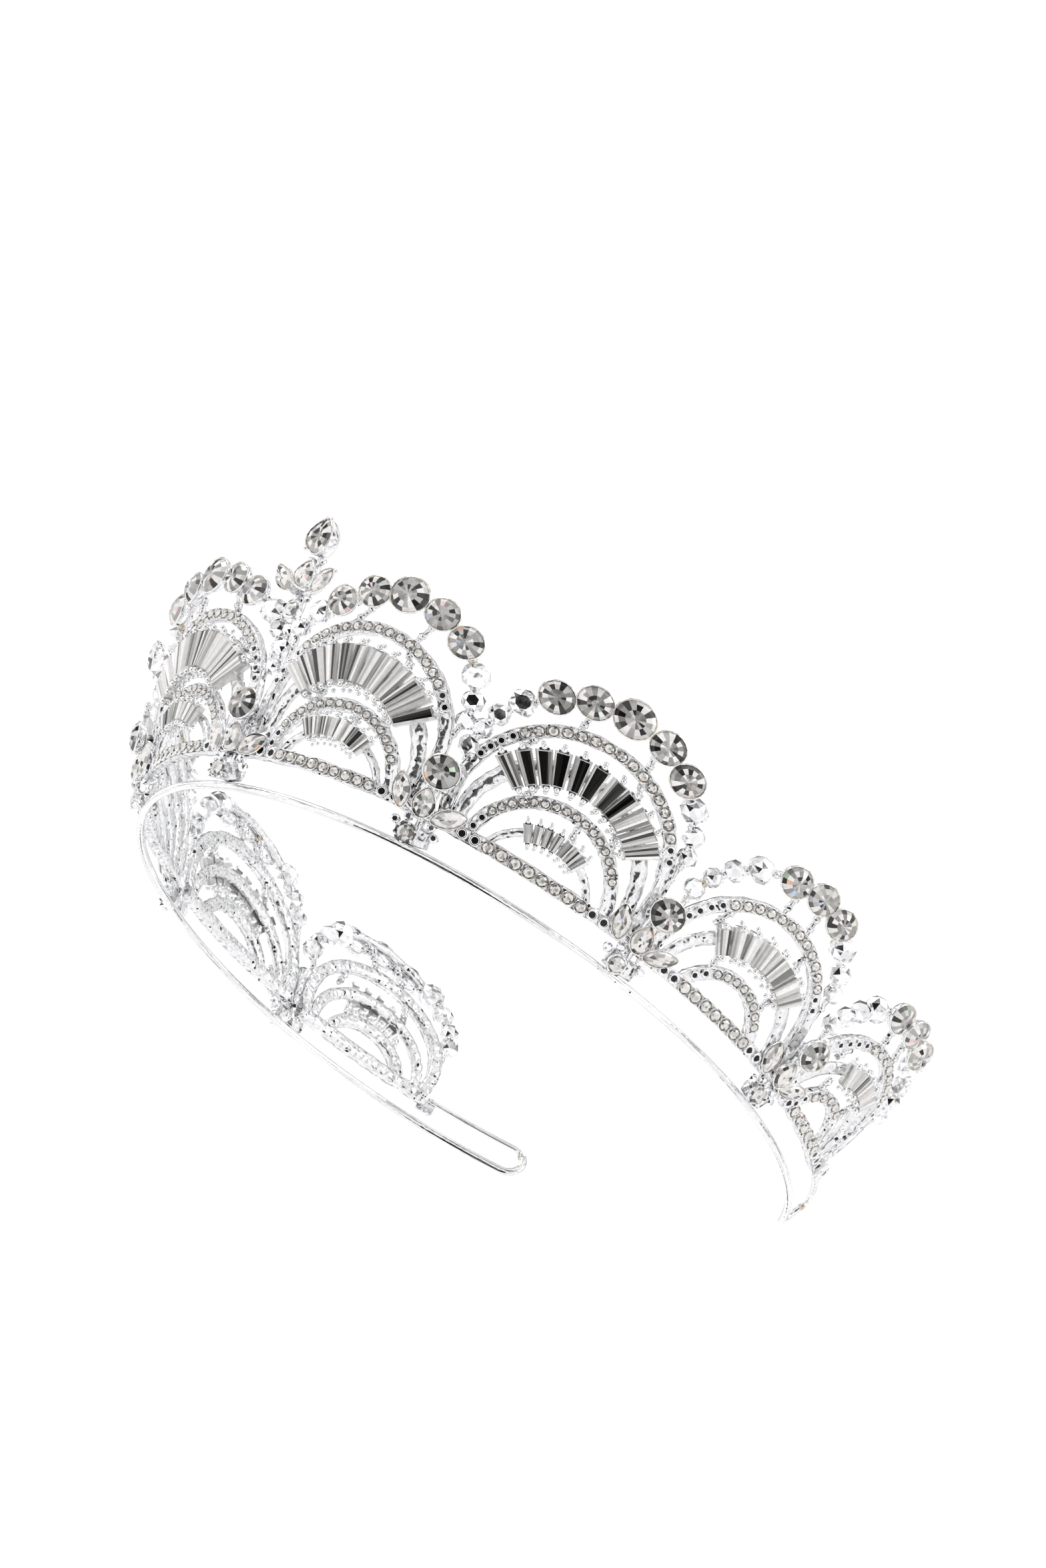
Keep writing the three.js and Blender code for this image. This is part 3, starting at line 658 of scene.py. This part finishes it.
def baguette_row(shell, one, rng, tone, dark):
    """Tapered step-cut stones side by side, each held by a ball prong and a plate at both ends."""
    half = one["length"] / 2
    step = 2 * one["spread"] / one["count"]
    top = FRONT + 1.8
    for i in range(one["count"]):
        angle = (i + 0.5) * step - one["spread"]
        u, h = on_arch(one, angle)
        low = math.radians(step) * (one["radius"] - half) / 2 * 0.92
        high = math.radians(step) * (one["radius"] + half) / 2 * 0.88
        twist = rng.uniform(-5, 5)
        place = at(u, h, 0, spin=-angle + rng.uniform(-2.2, 2.2), swing=twist)
        verts = []
        for drop, inset in CROWN_INSETS:
            w0, w1 = low * (1 - inset), high * (1 - inset)
            ends = half * (1 - inset * 0.4)
            z = top + drop
            verts += [(-w0, -ends, z), (w0, -ends, z), (w1, ends, z), (-w1, ends, z)]
        faces = [(3, 2, 1, 0)]
        for k in range(3):
            for j in range(4):
                n = (j + 1) % 4
                faces.append((k * 4 + j, k * 4 + n, k * 4 + 4 + n, k * 4 + 4 + j))
        # The table: long strips from one end to the other, with a low ridge along its middle.
        columns = [(12, 15)]
        for cut in TABLE_CUTS[1:-1]:
            ridge = top + 0.06 * (1 - abs(cut))
            verts += [(w0 * cut, -ends, ridge), (w1 * cut, ends, ridge)]
            columns.append((len(verts) - 2, len(verts) - 1))
        columns.append((13, 14))
        # The last crown steps at both ends also run through the table's extra corners.
        faces[9] = tuple([8, 9] + [low_end for low_end, _ in reversed(columns)])
        faces[11] = tuple([10, 11] + [high_end for _, high_end in columns])
        for (a, d), (b, c) in zip(columns, columns[1:]):
            faces.append((a, b, c, d))
        # Baguettes inside the dark stretch get tables painted near black, as dark reflections.
        is_dark = dark[0] <= (i + 0.5) / one["count"] <= dark[1]
        shell.add(verts, faces, place, GEM, baguette_painted_light(rng, len(faces), tone, is_dark))
        for direction, reach in ((-1, low), (1, high)):
            end = place @ Matrix.Translation((0, direction * (half + 0.05), 0))
            plate = [(-0.62 * reach, -0.22, 0.1), (0.62 * reach, -0.22, 0.1)]
            plate += [(0.62 * reach, 0.22, 0.1), (-0.62 * reach, 0.22, 0.1)]
            plate += [(x * 0.9, y, top - 0.3) for x, y, _ in plate]
            sides = [(3, 2, 1, 0), (4, 5, 6, 7)]
            sides += [(k, (k + 1) % 4, (k + 1) % 4 + 4, k + 4) for k in range(4)]
            shell.add(plate, sides, end, POLISHED)
            size = 0.55 if one["length"] > 4 else 0.42
            for reach_out, up in ((0.35, top - 0.3), (0.95, 0.9)):
                prong = end @ Matrix.Translation((0, direction * reach_out, up))
                ball(shell, prong, size * (1.0 if up > 1 else 0.85), POLISHED, 8)


END_TAB_PAST = 0.9
END_TAB_SIZE = (3.4, 4.0)
END_TAB_BACK, END_TAB_FRONT = 1.3, 2.0


def end_tab(shell, half, height, rng):
    """The flat plate on the face of the last fan, with worn corners and a rivet."""
    wide, tall = END_TAB_SIZE[0] / 2, END_TAB_SIZE[1] / 2
    u = half + END_TAB_PAST - wide
    corner = 0.35
    outline = []
    for x, y in ((1, 1), (-1, 1), (-1, -1), (1, -1)):
        near, far = (wide - corner, tall), (wide, tall - corner)
        for px, py in ((far, near) if x * y > 0 else (near, far)):
            outline.append((x * px, y * py + rng.uniform(-0.08, 0.08)))
    levels = ((END_TAB_BACK, 1.0), (END_TAB_FRONT - 0.15, 1.0), (END_TAB_FRONT, 0.92))
    verts = [(u + x * scale, height + y * scale, z) for z, scale in levels for x, y in outline]
    n = len(outline)
    faces = [tuple(reversed(range(n))), tuple(2 * n + k for k in range(n))]
    for ring in (0, n):
        for k in range(n):
            j = (k + 1) % n
            faces.append((ring + k, ring + j, ring + n + j, ring + n + k))
    shell.add(verts, faces, Matrix.Identity(4), CAST)
    ball(shell, at(u - 0.7, height, END_TAB_FRONT - 0.1), 0.5, CAST)


def bar_row(shell, fan, rng, tone):
    height, count, pitch = fan["bar"]
    for i in range(count):
        u = (i - (count - 1) / 2) * pitch
        place = at(u, height, FRONT - 0.05, spin=rng.uniform(0, 40))
        set_small_stone(shell, place, pitch * BAR_FILL, rng, tone)


# ---------- clusters and spire ----------


def serrated_cup(shell, place, radius, back, lip):
    """A small cup with a toothed rim."""
    teeth = 10
    verts, faces = turned([(radius * 0.7, back), (radius * 0.95, lip - 0.5)], 2 * teeth)
    start = len(verts)
    for i in range(2 * teeth):
        x, y = round_outline(math.pi * i / teeth + math.pi / 2)
        tooth = i % 2 == 0
        reach = radius * (1.08 if tooth else 0.98)
        verts.append((x * reach, y * reach, lip + (0.35 if tooth else -0.15)))
    faces.pop()
    ring = 2 * teeth
    faces += [(ring + i, ring + (i + 1) % ring, start + (i + 1) % ring, start + i) for i in range(ring)]
    faces.append(tuple(start + i for i in range(ring)))
    shell.add(verts, faces, place, POLISHED)


def oval_stone(shell, place, wide, tall, back, lip, outline, rng, paint=clear, tone=1.0):
    cup(shell, place, 1.0, back, lip, outline, wide, tall, 20)
    crown = place @ Matrix.Translation((0, 0, lip - 0.35))
    gem(shell, crown, 0.89, 1.15, rng, 14, outline, wide, tall, tone, paint)


def post(shell, low, high, wide, back, front):
    section = oval_section(wide, back, front, 8)
    count = 8
    path = [(0.0, lerp(low, high, i / count)) for i in range(count + 1)]
    sweep(shell, path, section, CAST)


SMALL_CUP_ASIDE = -1.3
SMALL_CUP_HEIGHT = 2.4
BIG_CRYSTAL_HEIGHT = 14.8
SPIRE_CUP_HEIGHT = 34.8
TOP_STONE_HEIGHT = 49.3
# (along, height, radius) of the square bead pieces round a cluster.
CLUSTER_BEADS = ((-4.1, 3.9, 1.0), (3.4, 3.7, 1.0), (-2.2, 5.3, 0.95), (2.3, 5.2, 0.95), (1.2, 12.1, 0.8))


def cluster_metal(shell, rng):
    post(shell, 1.2, 15.5, 0.85, -0.8, 1.1)
    # The tab that holds the cluster to the band, and square bead pieces either side.
    sweep(shell, [(-3.0, 2.9), (-1.5, 2.7), (0, 2.6), (1.5, 2.7), (3.0, 2.9)],
          oval_section(1.75, -0.7, 1.0, 10), CAST, wobble=rng)
    for u, h, size in CLUSTER_BEADS:
        cut_bead(shell, at(u, h, 0.9, spin=rng.uniform(0, 50)), size)
    for direction in (-1, 1):
        sweep(shell, [(0, 6.4), (direction * 2.6, 6.9), (direction * 4.6, 8.0)],
              oval_section(0.7, 0.0, 1.5, 6), CAST)
        sweep(shell, [(0, 6.0), (direction * 3.0, 6.2), (direction * 5.6, 6.6)],
              oval_section(0.6, -0.6, 0.8, 6), CAST)
    serrated_cup(shell, at(SMALL_CUP_ASIDE, SMALL_CUP_HEIGHT, 0), 1.95, 0.6, 2.3)
    for angle in range(0, 360, 60):
        x, y = round_outline(math.radians(angle + 30))
        place = at(SMALL_CUP_ASIDE + x * 1.75, SMALL_CUP_HEIGHT + y * 1.75, 2.35)
        ball(shell, place, 0.3, POLISHED, 5)


def cluster_stones(shell, rng):
    place = at(SMALL_CUP_ASIDE, SMALL_CUP_HEIGHT, 1.9)
    gem(shell, place, 1.65, 1.0, rng, 12, tone=0.6, paint=painted_small_foil_flashes)
    oval_stone(shell, at(-0.5, 8.5, 0.2, spin=6), 2.75, 3.2, 1.1, 2.6, pear_outline, rng)
    for direction, spin in ((-1, 20), (1, 58)):
        height = 9.2 - 0.9 * (direction > 0)
        place = at(direction * 4.4 - 0.3, height, 0.2, -direction * spin, swing=direction * 14)
        oval_stone(shell, place, 3.5, 3.5, 0.9, 2.1, marquise_outline, rng)


def big_crystal(shell, rng):
    place = at(0, BIG_CRYSTAL_HEIGHT, 0, spin=rng.uniform(0, 40))
    post_rings = [(1.2, 0.6), (1.2, 1.6), (2.4, 2.2)]
    verts, faces = turned(post_rings, 10)
    shell.add(verts, faces, place, CAST, smooth=True)
    cup(shell, place, 3.25, 2.1, 3.9)
    gem(shell, place @ Matrix.Translation((0, 0, 3.55)), 2.95, 1.3, rng, 16, tone=0.4)


def spire_metal(shell, rng):
    post(shell, 22.6, 46.5, 0.6, -0.7, 0.7)
    for h, size in ((23.7, 1.7), (27.7, 1.85), (31.2, 1.55)):
        cut_bead(shell, at(0, h, 0.3, spin=rng.uniform(0, 50)), size, 8)
    serrated_cup(shell, at(0, SPIRE_CUP_HEIGHT, 0), 1.9, 0.5, 1.9)
    for u, h in ((-1.5, 37.4), (1.5, 37.4), (-1.3, 45.0), (1.3, 45.0)):
        cut_bead(shell, at(u, h, 0.4), 0.85)
    for direction in (-1, 1):
        sweep(shell, [(0, 38.3), (direction * 2.4, 38.9), (direction * 4.4, 40.2)],
              oval_section(0.65, -0.2, 1.2, 6), CAST)
        ball(shell, at(direction * 6.3, 43.0, 0.9), 0.4)
    for u, h in ((-0.6, 53.1), (0.6, 53.1), (-2.2, 46.8), (2.2, 46.8)):
        ball(shell, at(u, h, 1.9), 0.42)


def spire_stones(shell, rng):
    place = at(0, SPIRE_CUP_HEIGHT, 1.5)
    gem(shell, place, 1.55, 1.0, rng, 12, tone=0.6, paint=painted_small_foil_flashes)
    oval_stone(shell, at(0, 41.7, 0), 2.9, 3.1, 0.7, 2.2, pear_outline, rng)
    for direction in (-1, 1):
        place = at(direction * 4.2, 41.0, 0, spin=-direction * 36, swing=direction * 10)
        oval_stone(shell, place, 3.4, 3.1, 0.6, 1.7, marquise_outline, rng)


def top_stone(shell, rng):
    place = at(0, TOP_STONE_HEIGHT, 0)
    oval_stone(shell, place, 3.6, 4.1, -1.0, 2.2, pear_outline, rng, painted_foil_flashes, 0.75)


# ---------- wires ----------


def loop_turn(start, end, steps):
    radius = LOOP_HEIGHT / 2
    stations = []
    for i in range(steps + 1):
        heading = lerp(start, end, i / steps)
        turn = math.radians(heading)
        along = LOOP_END - radius + radius * math.sin(turn)
        height = radius - radius * math.cos(turn)
        stations.append((along, height, heading, min(1.0, heading / BAND_TURN)))
    return stations


def rounded_box_section(tall, thick, corner):
    """(across, out) points of a rectangle with rounded corners."""
    points = []
    for cx, cy, start in ((1, 1, 0), (-1, 1, 90), (-1, -1, 180), (1, -1, 270)):
        for k in range(4):
            angle = math.radians(start + 30 * k)
            x = cx * (tall / 2 - corner) + corner * math.cos(angle)
            points.append((x, cy * (thick / 2 - corner) + corner * math.sin(angle)))
    return points


def wire(shell, stations, section):
    """Sweeps section along stations of (along, height, heading in degrees, share of the lean)."""
    verts = []
    for along, height, heading, share in stations:
        forward, up, normal = wall_axes(along, share)
        turn = math.radians(heading)
        across_axis = up * math.cos(turn) - forward * math.sin(turn)
        centre = on_wall(along, height, 0)
        verts += [centre + across_axis * across + normal * out for across, out in section]
    n = len(section)
    faces = []
    for i in range(len(stations) - 1):
        a, b = i * n, (i + 1) * n
        for k in range(n):
            j = (k + 1) % n
            faces.append((a + k, b + k, b + j, a + j))
    faces.append(tuple(range(n)))
    faces.append(tuple(reversed(range((len(stations) - 1) * n, len(stations) * n))))
    shell.add(verts, faces, Matrix.Identity(4), POLISHED, smooth=True)


def head_band():
    shell = Shell()
    end = LOOP_END - LOOP_HEIGHT / 2
    count = 90
    right = [(end * i / count, 0, 0, 0) for i in range(1, count)]
    right += loop_turn(0, BAND_TURN, 14)
    left = [(-along, height, -heading, share) for along, height, heading, share in reversed(right)]
    section = rounded_box_section(BAND_HEIGHT, BAND_THICKNESS, 0.6)
    wire(shell, left + [(0, 0, 0, 0)] + right, section)
    shell.finish("band_wire", lambda v: v, 1, ["head_band"])


def return_wire(side, label):
    shell = Shell()
    end = LOOP_END - LOOP_HEIGHT / 2
    start = ORNAMENT_END - 1.0
    count = 16
    stations = [(lerp(start, end, i / count), LOOP_HEIGHT, 0, 1) for i in range(count + 1)]
    for heading in (172, 163, 154, 146):
        along, height, _, _ = loop_turn(heading, heading, 1)[0]
        stations.append((along, height, heading - 180, 1))
    section = rounded_box_section(RETURN_WIRE, RETURN_WIRE, 0.4)
    wire(shell, stations, section)
    # The solder that holds the wire to the band's turned end.
    along, height, _, _ = stations[-1]
    blob, faces = turned([(0.25, -0.5), (0.62, -0.2), (0.7, 0.3), (0.3, 0.62)], 8, stretch=1.7)
    forward, up, normal = wall_axes(along, 1)
    seam = Matrix((forward, up, normal)).transposed().to_4x4()
    place = Matrix.Translation(on_wall(along + 0.5, height - 0.7, 0)) @ seam
    place = place @ Matrix.Rotation(math.radians(52), 4, "Z")
    shell.add(blob, faces, place, RIM, smooth=True)
    shell.finish(f"return_wire_detail_{label}", lambda v: v, side, [f"return_wire_{label}"])


# ---------- materials ----------


def new_material(name):
    material = bpy.data.materials.new(name)
    material.use_nodes = True
    nodes, links = material.node_tree.nodes, material.node_tree.links
    return material, nodes, links, nodes["Principled BSDF"]


def metal(name, color, roughness, bump, grain, painted_speck_shift):
    """Silver plate: a skin of soft dents, faint clouding, and small dark specks painted into the colour
    as reflections, more of them the higher the last argument is.
    """
    material, nodes, links, shader = new_material(name)
    shader.inputs["Metallic"].default_value = 1.0
    coords = nodes.new("ShaderNodeTexCoord")
    dents = nodes.new("ShaderNodeTexVoronoi")
    dents.feature = "SMOOTH_F1"
    dents.inputs["Scale"].default_value = grain
    dents.inputs["Smoothness"].default_value = 0.35
    cloud = nodes.new("ShaderNodeTexNoise")
    cloud.inputs["Scale"].default_value = grain * 0.45
    cloud.inputs["Detail"].default_value = 3.0
    # Dark specks painted into the colour stand in for small dark reflections on the silver.
    specks = nodes.new("ShaderNodeTexNoise")
    specks.inputs["Scale"].default_value = 950
    specks.inputs["Detail"].default_value = 1.0
    height = nodes.new("ShaderNodeBump")
    height.inputs["Strength"].default_value = bump
    height.inputs["Distance"].default_value = 0.0005
    ramp = nodes.new("ShaderNodeValToRGB")
    ramp.color_ramp.elements[0].position = 0.3
    ramp.color_ramp.elements[0].color = (*(c * 0.9 for c in color), 1)
    ramp.color_ramp.elements[1].position = 0.65
    ramp.color_ramp.elements[1].color = (*color, 1)
    spread = nodes.new("ShaderNodeMapRange")
    spread.inputs["To Min"].default_value = roughness * 0.7
    spread.inputs["To Max"].default_value = roughness * 1.4
    # Where the speck noise is high, the colour is painted near black as a small dark reflection.
    edge = nodes.new("ShaderNodeMapRange")
    edge.inputs["From Min"].default_value = 0.69 - painted_speck_shift
    edge.inputs["From Max"].default_value = 0.71 - painted_speck_shift
    darken = nodes.new("ShaderNodeMix")
    darken.data_type = "RGBA"
    darken.inputs["B"].default_value = (0.03, 0.028, 0.025, 1)
    for texture in (dents, cloud, specks):
        links.new(coords.outputs["Object"], texture.inputs["Vector"])
    links.new(dents.outputs["Distance"], height.inputs["Height"])
    links.new(cloud.outputs["Fac"], ramp.inputs["Fac"])
    links.new(cloud.outputs["Fac"], spread.inputs["Value"])
    links.new(specks.outputs["Fac"], edge.inputs["Value"])
    links.new(ramp.outputs["Color"], darken.inputs["A"])
    links.new(edge.outputs["Result"], darken.inputs["Factor"])
    links.new(darken.outputs["Result"], shader.inputs["Base Color"])
    links.new(spread.outputs["Result"], shader.inputs["Roughness"])
    links.new(height.outputs["Normal"], shader.inputs["Normal"])
    return material


def crystal(name):
    """Foiled glass: each facet has its own colour with painted light and shade in it, under a clear coat,
    with faint inner clouding.
    """
    material, nodes, links, shader = new_material(name)
    shader.inputs["Metallic"].default_value = 0.35
    shader.inputs["Roughness"].default_value = 0.05
    shader.inputs["Specular IOR Level"].default_value = 0.35
    shader.inputs["Coat Weight"].default_value = 0.2
    shader.inputs["Coat Roughness"].default_value = 0.02
    painted_light_tint = nodes.new("ShaderNodeAttribute")
    painted_light_tint.attribute_name = "painted_light_tint"
    coords = nodes.new("ShaderNodeTexCoord")
    cloud = nodes.new("ShaderNodeTexNoise")
    cloud.inputs["Scale"].default_value = 1400
    cloud.inputs["Detail"].default_value = 2.0
    fade = nodes.new("ShaderNodeMapRange")
    fade.inputs["To Min"].default_value = 0.82
    fade.inputs["To Max"].default_value = 1.12
    shade = nodes.new("ShaderNodeVectorMath")
    shade.operation = "SCALE"
    links.new(coords.outputs["Object"], cloud.inputs["Vector"])
    links.new(cloud.outputs["Fac"], fade.inputs["Value"])
    # Each facet's painted light and shade sets the stone's colour, varied a little by the clouding.
    links.new(painted_light_tint.outputs["Color"], shade.inputs["Vector"])
    links.new(fade.outputs["Result"], shade.inputs["Scale"])
    links.new(shade.outputs["Vector"], shader.inputs["Base Color"])
    return material


MATERIALS = (
    metal("cast_silver", (0.97, 0.97, 0.975), 0.22, 0.6, 800, 0.0),
    metal("polished_silver", (0.97, 0.97, 0.975), 0.07, 0.08, 700, -0.1),
    metal("warm_rim", (0.72, 0.65, 0.54), 0.25, 0.15, 1500, -0.1),
    crystal("foiled_crystal"),
)

# ---------- putting the tiara together ----------


def piece(name, seed, build, middle, side, slot, replaced):
    shell = Shell()
    build(shell, random.Random(seed))

    def to_world(v):
        return on_wall(middle + v.x, v.y, v.z)

    return shell.finish(name, to_world, side, replaced)


# How bright the painted light on the stones of each right fan is, from the front centre, and the stretch
# of its baguettes, from one end (0) to the other (1), whose tables are painted with dark reflections.
RIGHT_TONES = (0.75, 0.5, 0.9, 0.95)
NONE_DARK = (1.0, 1.0)
RIGHT_PAINTED_DARK = ((0.9, 1.0), (0.07, 0.72), NONE_DARK, NONE_DARK)

head_band()
for side_label, side in (("right", 1), ("left", -1)):
    for i, fan in enumerate(FANS):
        is_last = i == len(FANS) - 1
        start = CLUSTERS_AT[i]
        end = ORNAMENT_END if is_last else CLUSTERS_AT[i + 1]
        middle, half = (start + end) / 2, (end - start) / 2
        if i == 0:
            # The two front crests are not mirror images: they are shifted by different amounts.
            fan = {**fan, "crest": {**fan["crest"], "shift": 3 if side > 0 else 0}}
        label = f"{side_label}_{i + 1}"
        base = 100 * (i + 1) + (50 if side < 0 else 0)
        # The stones' painted light is bright all over on the left fans and as RIGHT_TONES gives on the
        # right, where some baguettes also get painted dark reflections.
        tone = 0.9 if side < 0 else RIGHT_TONES[i]
        dark = NONE_DARK if side < 0 else RIGHT_PAINTED_DARK[i]

        def put(name, offset, build, slot, *replaced):
            piece(f"{name}_{label}", base + offset, build, middle, side, slot, replaced)

        put("fan_metal", 1, lambda s, r: fan_metal(s, fan, half, i == 0, is_last, r),
            "silver", f"fan_frame_{label}")
        put("crest_row", 2, lambda s, r: crest_row(s, fan, r, tone), "crystal", f"crest_stones_{label}")
        put("pave_arch", 3, lambda s, r: pave_row(s, fan["pave"], r, tone), "crystal")
        put("inner_pave_arch", 4, lambda s, r: pave_row(s, fan["inner_pave"], r, tone), "crystal")
        put("baguette_row", 5, lambda s, r: baguette_row(s, fan["baguettes"], r, tone, dark),
            "dark_crystal", f"baguette_fan_{label}")
        put("bar_row", 6, lambda s, r: bar_row(s, fan, r, tone), "crystal", f"bar_stones_{label}")
        if fan["small"]:
            # The small baguettes from 0.8 to 0.9 along their row get painted dark reflections.
            put("small_baguette_row", 7, lambda s, r: baguette_row(s, fan["small"], r, 0.6, (0.8, 0.9)),
                "dark_crystal", f"small_baguette_fan_{label}")
        if is_last:
            put("end_tab_detail", 8, lambda s, r: end_tab(s, half, fan["bar"][0], r), "silver",
                f"end_tab_{side_label}")
    return_wire(side, side_label)

for i, along in enumerate(CLUSTERS_AT):
    for side_label, side in (("right", 1), ("left", -1)):
        if i == 0 and side < 0:
            continue
        label = "centre" if i == 0 else f"{side_label}_{i}"
        base = 1000 + 20 * i + (10 if side < 0 else 0)
        piece(f"cluster_metal_{label}", base, cluster_metal, along, side, "silver",
              [f"cluster_{label}"])
        piece(f"cluster_stones_{label}", base + 1, cluster_stones, along, side, "crystal", [])
        piece(f"big_crystal_{label}", base + 2, big_crystal, along, side, "crystal",
              [f"cluster_crystal_{label}"])

piece("spire_metal", 1201, spire_metal, 0, 1, "silver", ["spire"])
piece("spire_stones", 1202, spire_stones, 0, 1, "crystal", [])
piece("spire_top", 1203, top_stone, 0, 1, "crystal", ["spire_crystal"])

# ---------- floor, light and camera ----------

CAMERA_AZIMUTH = math.radians(51.18)
CAMERA_ELEVATION = math.radians(-20.78)
CAMERA_ROLL = math.radians(30.22)
CAMERA_DISTANCE = 1191.2
CAMERA_LENS = 147.07
AIM = Vector((0, 60, 15))
AIM_RIGHT = 12.65
AIM_UP = 23.27

sin_a, cos_a = math.sin(CAMERA_AZIMUTH), math.cos(CAMERA_AZIMUTH)
sin_e, cos_e = math.sin(CAMERA_ELEVATION), math.cos(CAMERA_ELEVATION)
backward = Vector((sin_a * cos_e, -cos_a * cos_e, sin_e))
level = Vector((cos_a, sin_a, 0))
upward = backward.cross(level)
right_axis = level * math.cos(CAMERA_ROLL) + upward * math.sin(CAMERA_ROLL)
up_axis = upward * math.cos(CAMERA_ROLL) - level * math.sin(CAMERA_ROLL)
aim = AIM + Vector((0, FRONT_Y, BAND_HEIGHT / 2)) + right_axis * AIM_RIGHT + up_axis * AIM_UP
spot = (aim + backward * CAMERA_DISTANCE) * MM
camera_data = bpy.data.cameras.new("camera")
camera_data.lens = CAMERA_LENS
camera_data.sensor_fit = "AUTO"
camera_data.sensor_width = 36
camera_data.clip_start = 0.01
camera = bpy.data.objects.new("camera", camera_data)
axes = Matrix((right_axis, up_axis, backward)).transposed().to_4x4()
camera.matrix_world = Matrix.Translation(spot) @ axes
bpy.context.scene.collection.objects.link(camera)
bpy.context.scene.camera = camera


FLOOR_HALF = 0.9
FLOOR_DROP = 0.0002
DARK_OPENING_TURN = math.radians(36)
DARK_OPENING_TIP = math.radians(-22)


def floor():
    """A pale floor, clear from below, because the camera looks up from below the band."""
    half = FLOOR_HALF
    mesh = bpy.data.meshes.new("floor")
    corners = [(-half, -half), (half, -half), (half, half), (-half, half)]
    mesh.from_pydata([(x, y, -FLOOR_DROP) for x, y in corners], [], [(0, 1, 2, 3)])
    material, nodes, links, shader = new_material("pale_floor")
    grain = nodes.new("ShaderNodeTexNoise")
    grain.inputs["Scale"].default_value = 40
    ramp = nodes.new("ShaderNodeValToRGB")
    ramp.color_ramp.elements[0].color = (0.9, 0.9, 0.9, 1)
    ramp.color_ramp.elements[1].color = (0.94, 0.94, 0.94, 1)
    side = nodes.new("ShaderNodeNewGeometry")
    clear = nodes.new("ShaderNodeBsdfTransparent")
    mix = nodes.new("ShaderNodeMixShader")
    shader.inputs["Roughness"].default_value = 0.6
    links.new(grain.outputs["Fac"], ramp.inputs["Fac"])
    links.new(ramp.outputs["Color"], shader.inputs["Base Color"])
    links.new(side.outputs["Backfacing"], mix.inputs["Fac"])
    links.new(shader.outputs["BSDF"], mix.inputs[1])
    links.new(clear.outputs["BSDF"], mix.inputs[2])
    links.new(mix.outputs["Shader"], nodes["Material Output"].inputs["Surface"])
    mesh.materials.append(material)
    obj = bpy.data.objects.new("floor", mesh)
    bpy.context.scene.collection.objects.link(obj)
    # Reflections pass through the floor, so the metal mirrors the studio on every side.
    obj.visible_glossy = False


floor()


def studio():
    """A white studio. Reflections also show a dark opening, a duller ceiling and small gaps."""
    world = bpy.data.worlds.new("studio")
    bpy.context.scene.world = world
    world.use_nodes = True
    nodes, links = world.node_tree.nodes, world.node_tree.links
    shade = nodes["Background"]
    coords = nodes.new("ShaderNodeTexCoord")
    turn, tip = DARK_OPENING_TURN, DARK_OPENING_TIP
    dark_side = (math.sin(turn) * math.cos(tip), -math.cos(turn) * math.cos(tip), math.sin(tip))
    facing = nodes.new("ShaderNodeVectorMath")
    facing.operation = "DOT_PRODUCT"
    facing.inputs[1].default_value = dark_side
    opening = nodes.new("ShaderNodeMapRange")
    opening.interpolation_type = "SMOOTHSTEP"
    opening.inputs["From Min"].default_value = 0.865
    opening.inputs["From Max"].default_value = 0.92
    opening.inputs["To Min"].default_value = 0.0
    opening.inputs["To Max"].default_value = 0.42
    above = nodes.new("ShaderNodeSeparateXYZ")
    ceiling = nodes.new("ShaderNodeMapRange")
    ceiling.interpolation_type = "SMOOTHSTEP"
    ceiling.inputs["From Min"].default_value = 0.05
    ceiling.inputs["From Max"].default_value = 0.45
    ceiling.inputs["To Min"].default_value = 0.0
    ceiling.inputs["To Max"].default_value = 0.085
    gaps = nodes.new("ShaderNodeTexNoise")
    gaps.inputs["Scale"].default_value = 4.5
    gaps.inputs["Detail"].default_value = 3.0
    both = nodes.new("ShaderNodeMath")
    both.operation = "ADD"
    total = nodes.new("ShaderNodeMath")
    total.operation = "ADD"
    ramp = nodes.new("ShaderNodeValToRGB")
    ramp.color_ramp.elements[0].position = 0.0
    ramp.color_ramp.elements[0].color = (1, 1, 1, 1)
    ramp.color_ramp.elements[1].position = 1.0
    ramp.color_ramp.elements[1].color = (0.01, 0.01, 0.01, 1)
    for place, value in ((0.5, 1.0), (0.6, 0.72), (0.65, 0.3), (0.74, 0.16), (0.86, 0.03)):
        element = ramp.color_ramp.elements.new(place)
        element.color = (value, value, value * 1.01, 1)
    seen = nodes.new("ShaderNodeLightPath")
    mix = nodes.new("ShaderNodeMix")
    mix.data_type = "RGBA"
    mix.inputs["B"].default_value = (1, 1, 1, 1)
    links.new(coords.outputs["Generated"], facing.inputs[0])
    links.new(coords.outputs["Generated"], gaps.inputs["Vector"])
    links.new(facing.outputs["Value"], opening.inputs["Value"])
    links.new(coords.outputs["Generated"], above.inputs["Vector"])
    links.new(above.outputs["Z"], ceiling.inputs["Value"])
    links.new(opening.outputs["Result"], both.inputs[0])
    links.new(ceiling.outputs["Result"], both.inputs[1])
    links.new(both.outputs["Value"], total.inputs[0])
    links.new(gaps.outputs["Fac"], total.inputs[1])
    links.new(total.outputs["Value"], ramp.inputs["Fac"])
    links.new(ramp.outputs["Color"], mix.inputs["A"])
    links.new(seen.outputs["Is Camera Ray"], mix.inputs["Factor"])
    links.new(mix.outputs["Result"], shade.inputs["Color"])
    shade.inputs["Strength"].default_value = 1.1


studio()


def area_light(name, place, size, power):
    data = bpy.data.lights.new(name, "AREA")
    data.shape = "DISK"
    data.size = size
    data.energy = power
    light = bpy.data.objects.new(name, data)
    light.location = place
    light.rotation_euler = (-Vector(place)).to_track_quat("-Z", "Y").to_euler()
    bpy.context.scene.collection.objects.link(light)


area_light("key", (-0.5, -0.7, 0.9), 0.5, 4)
area_light("fill", (0.8, 0.2, 0.7), 0.7, 2)
bpy.context.scene.view_settings.view_transform = "Standard"
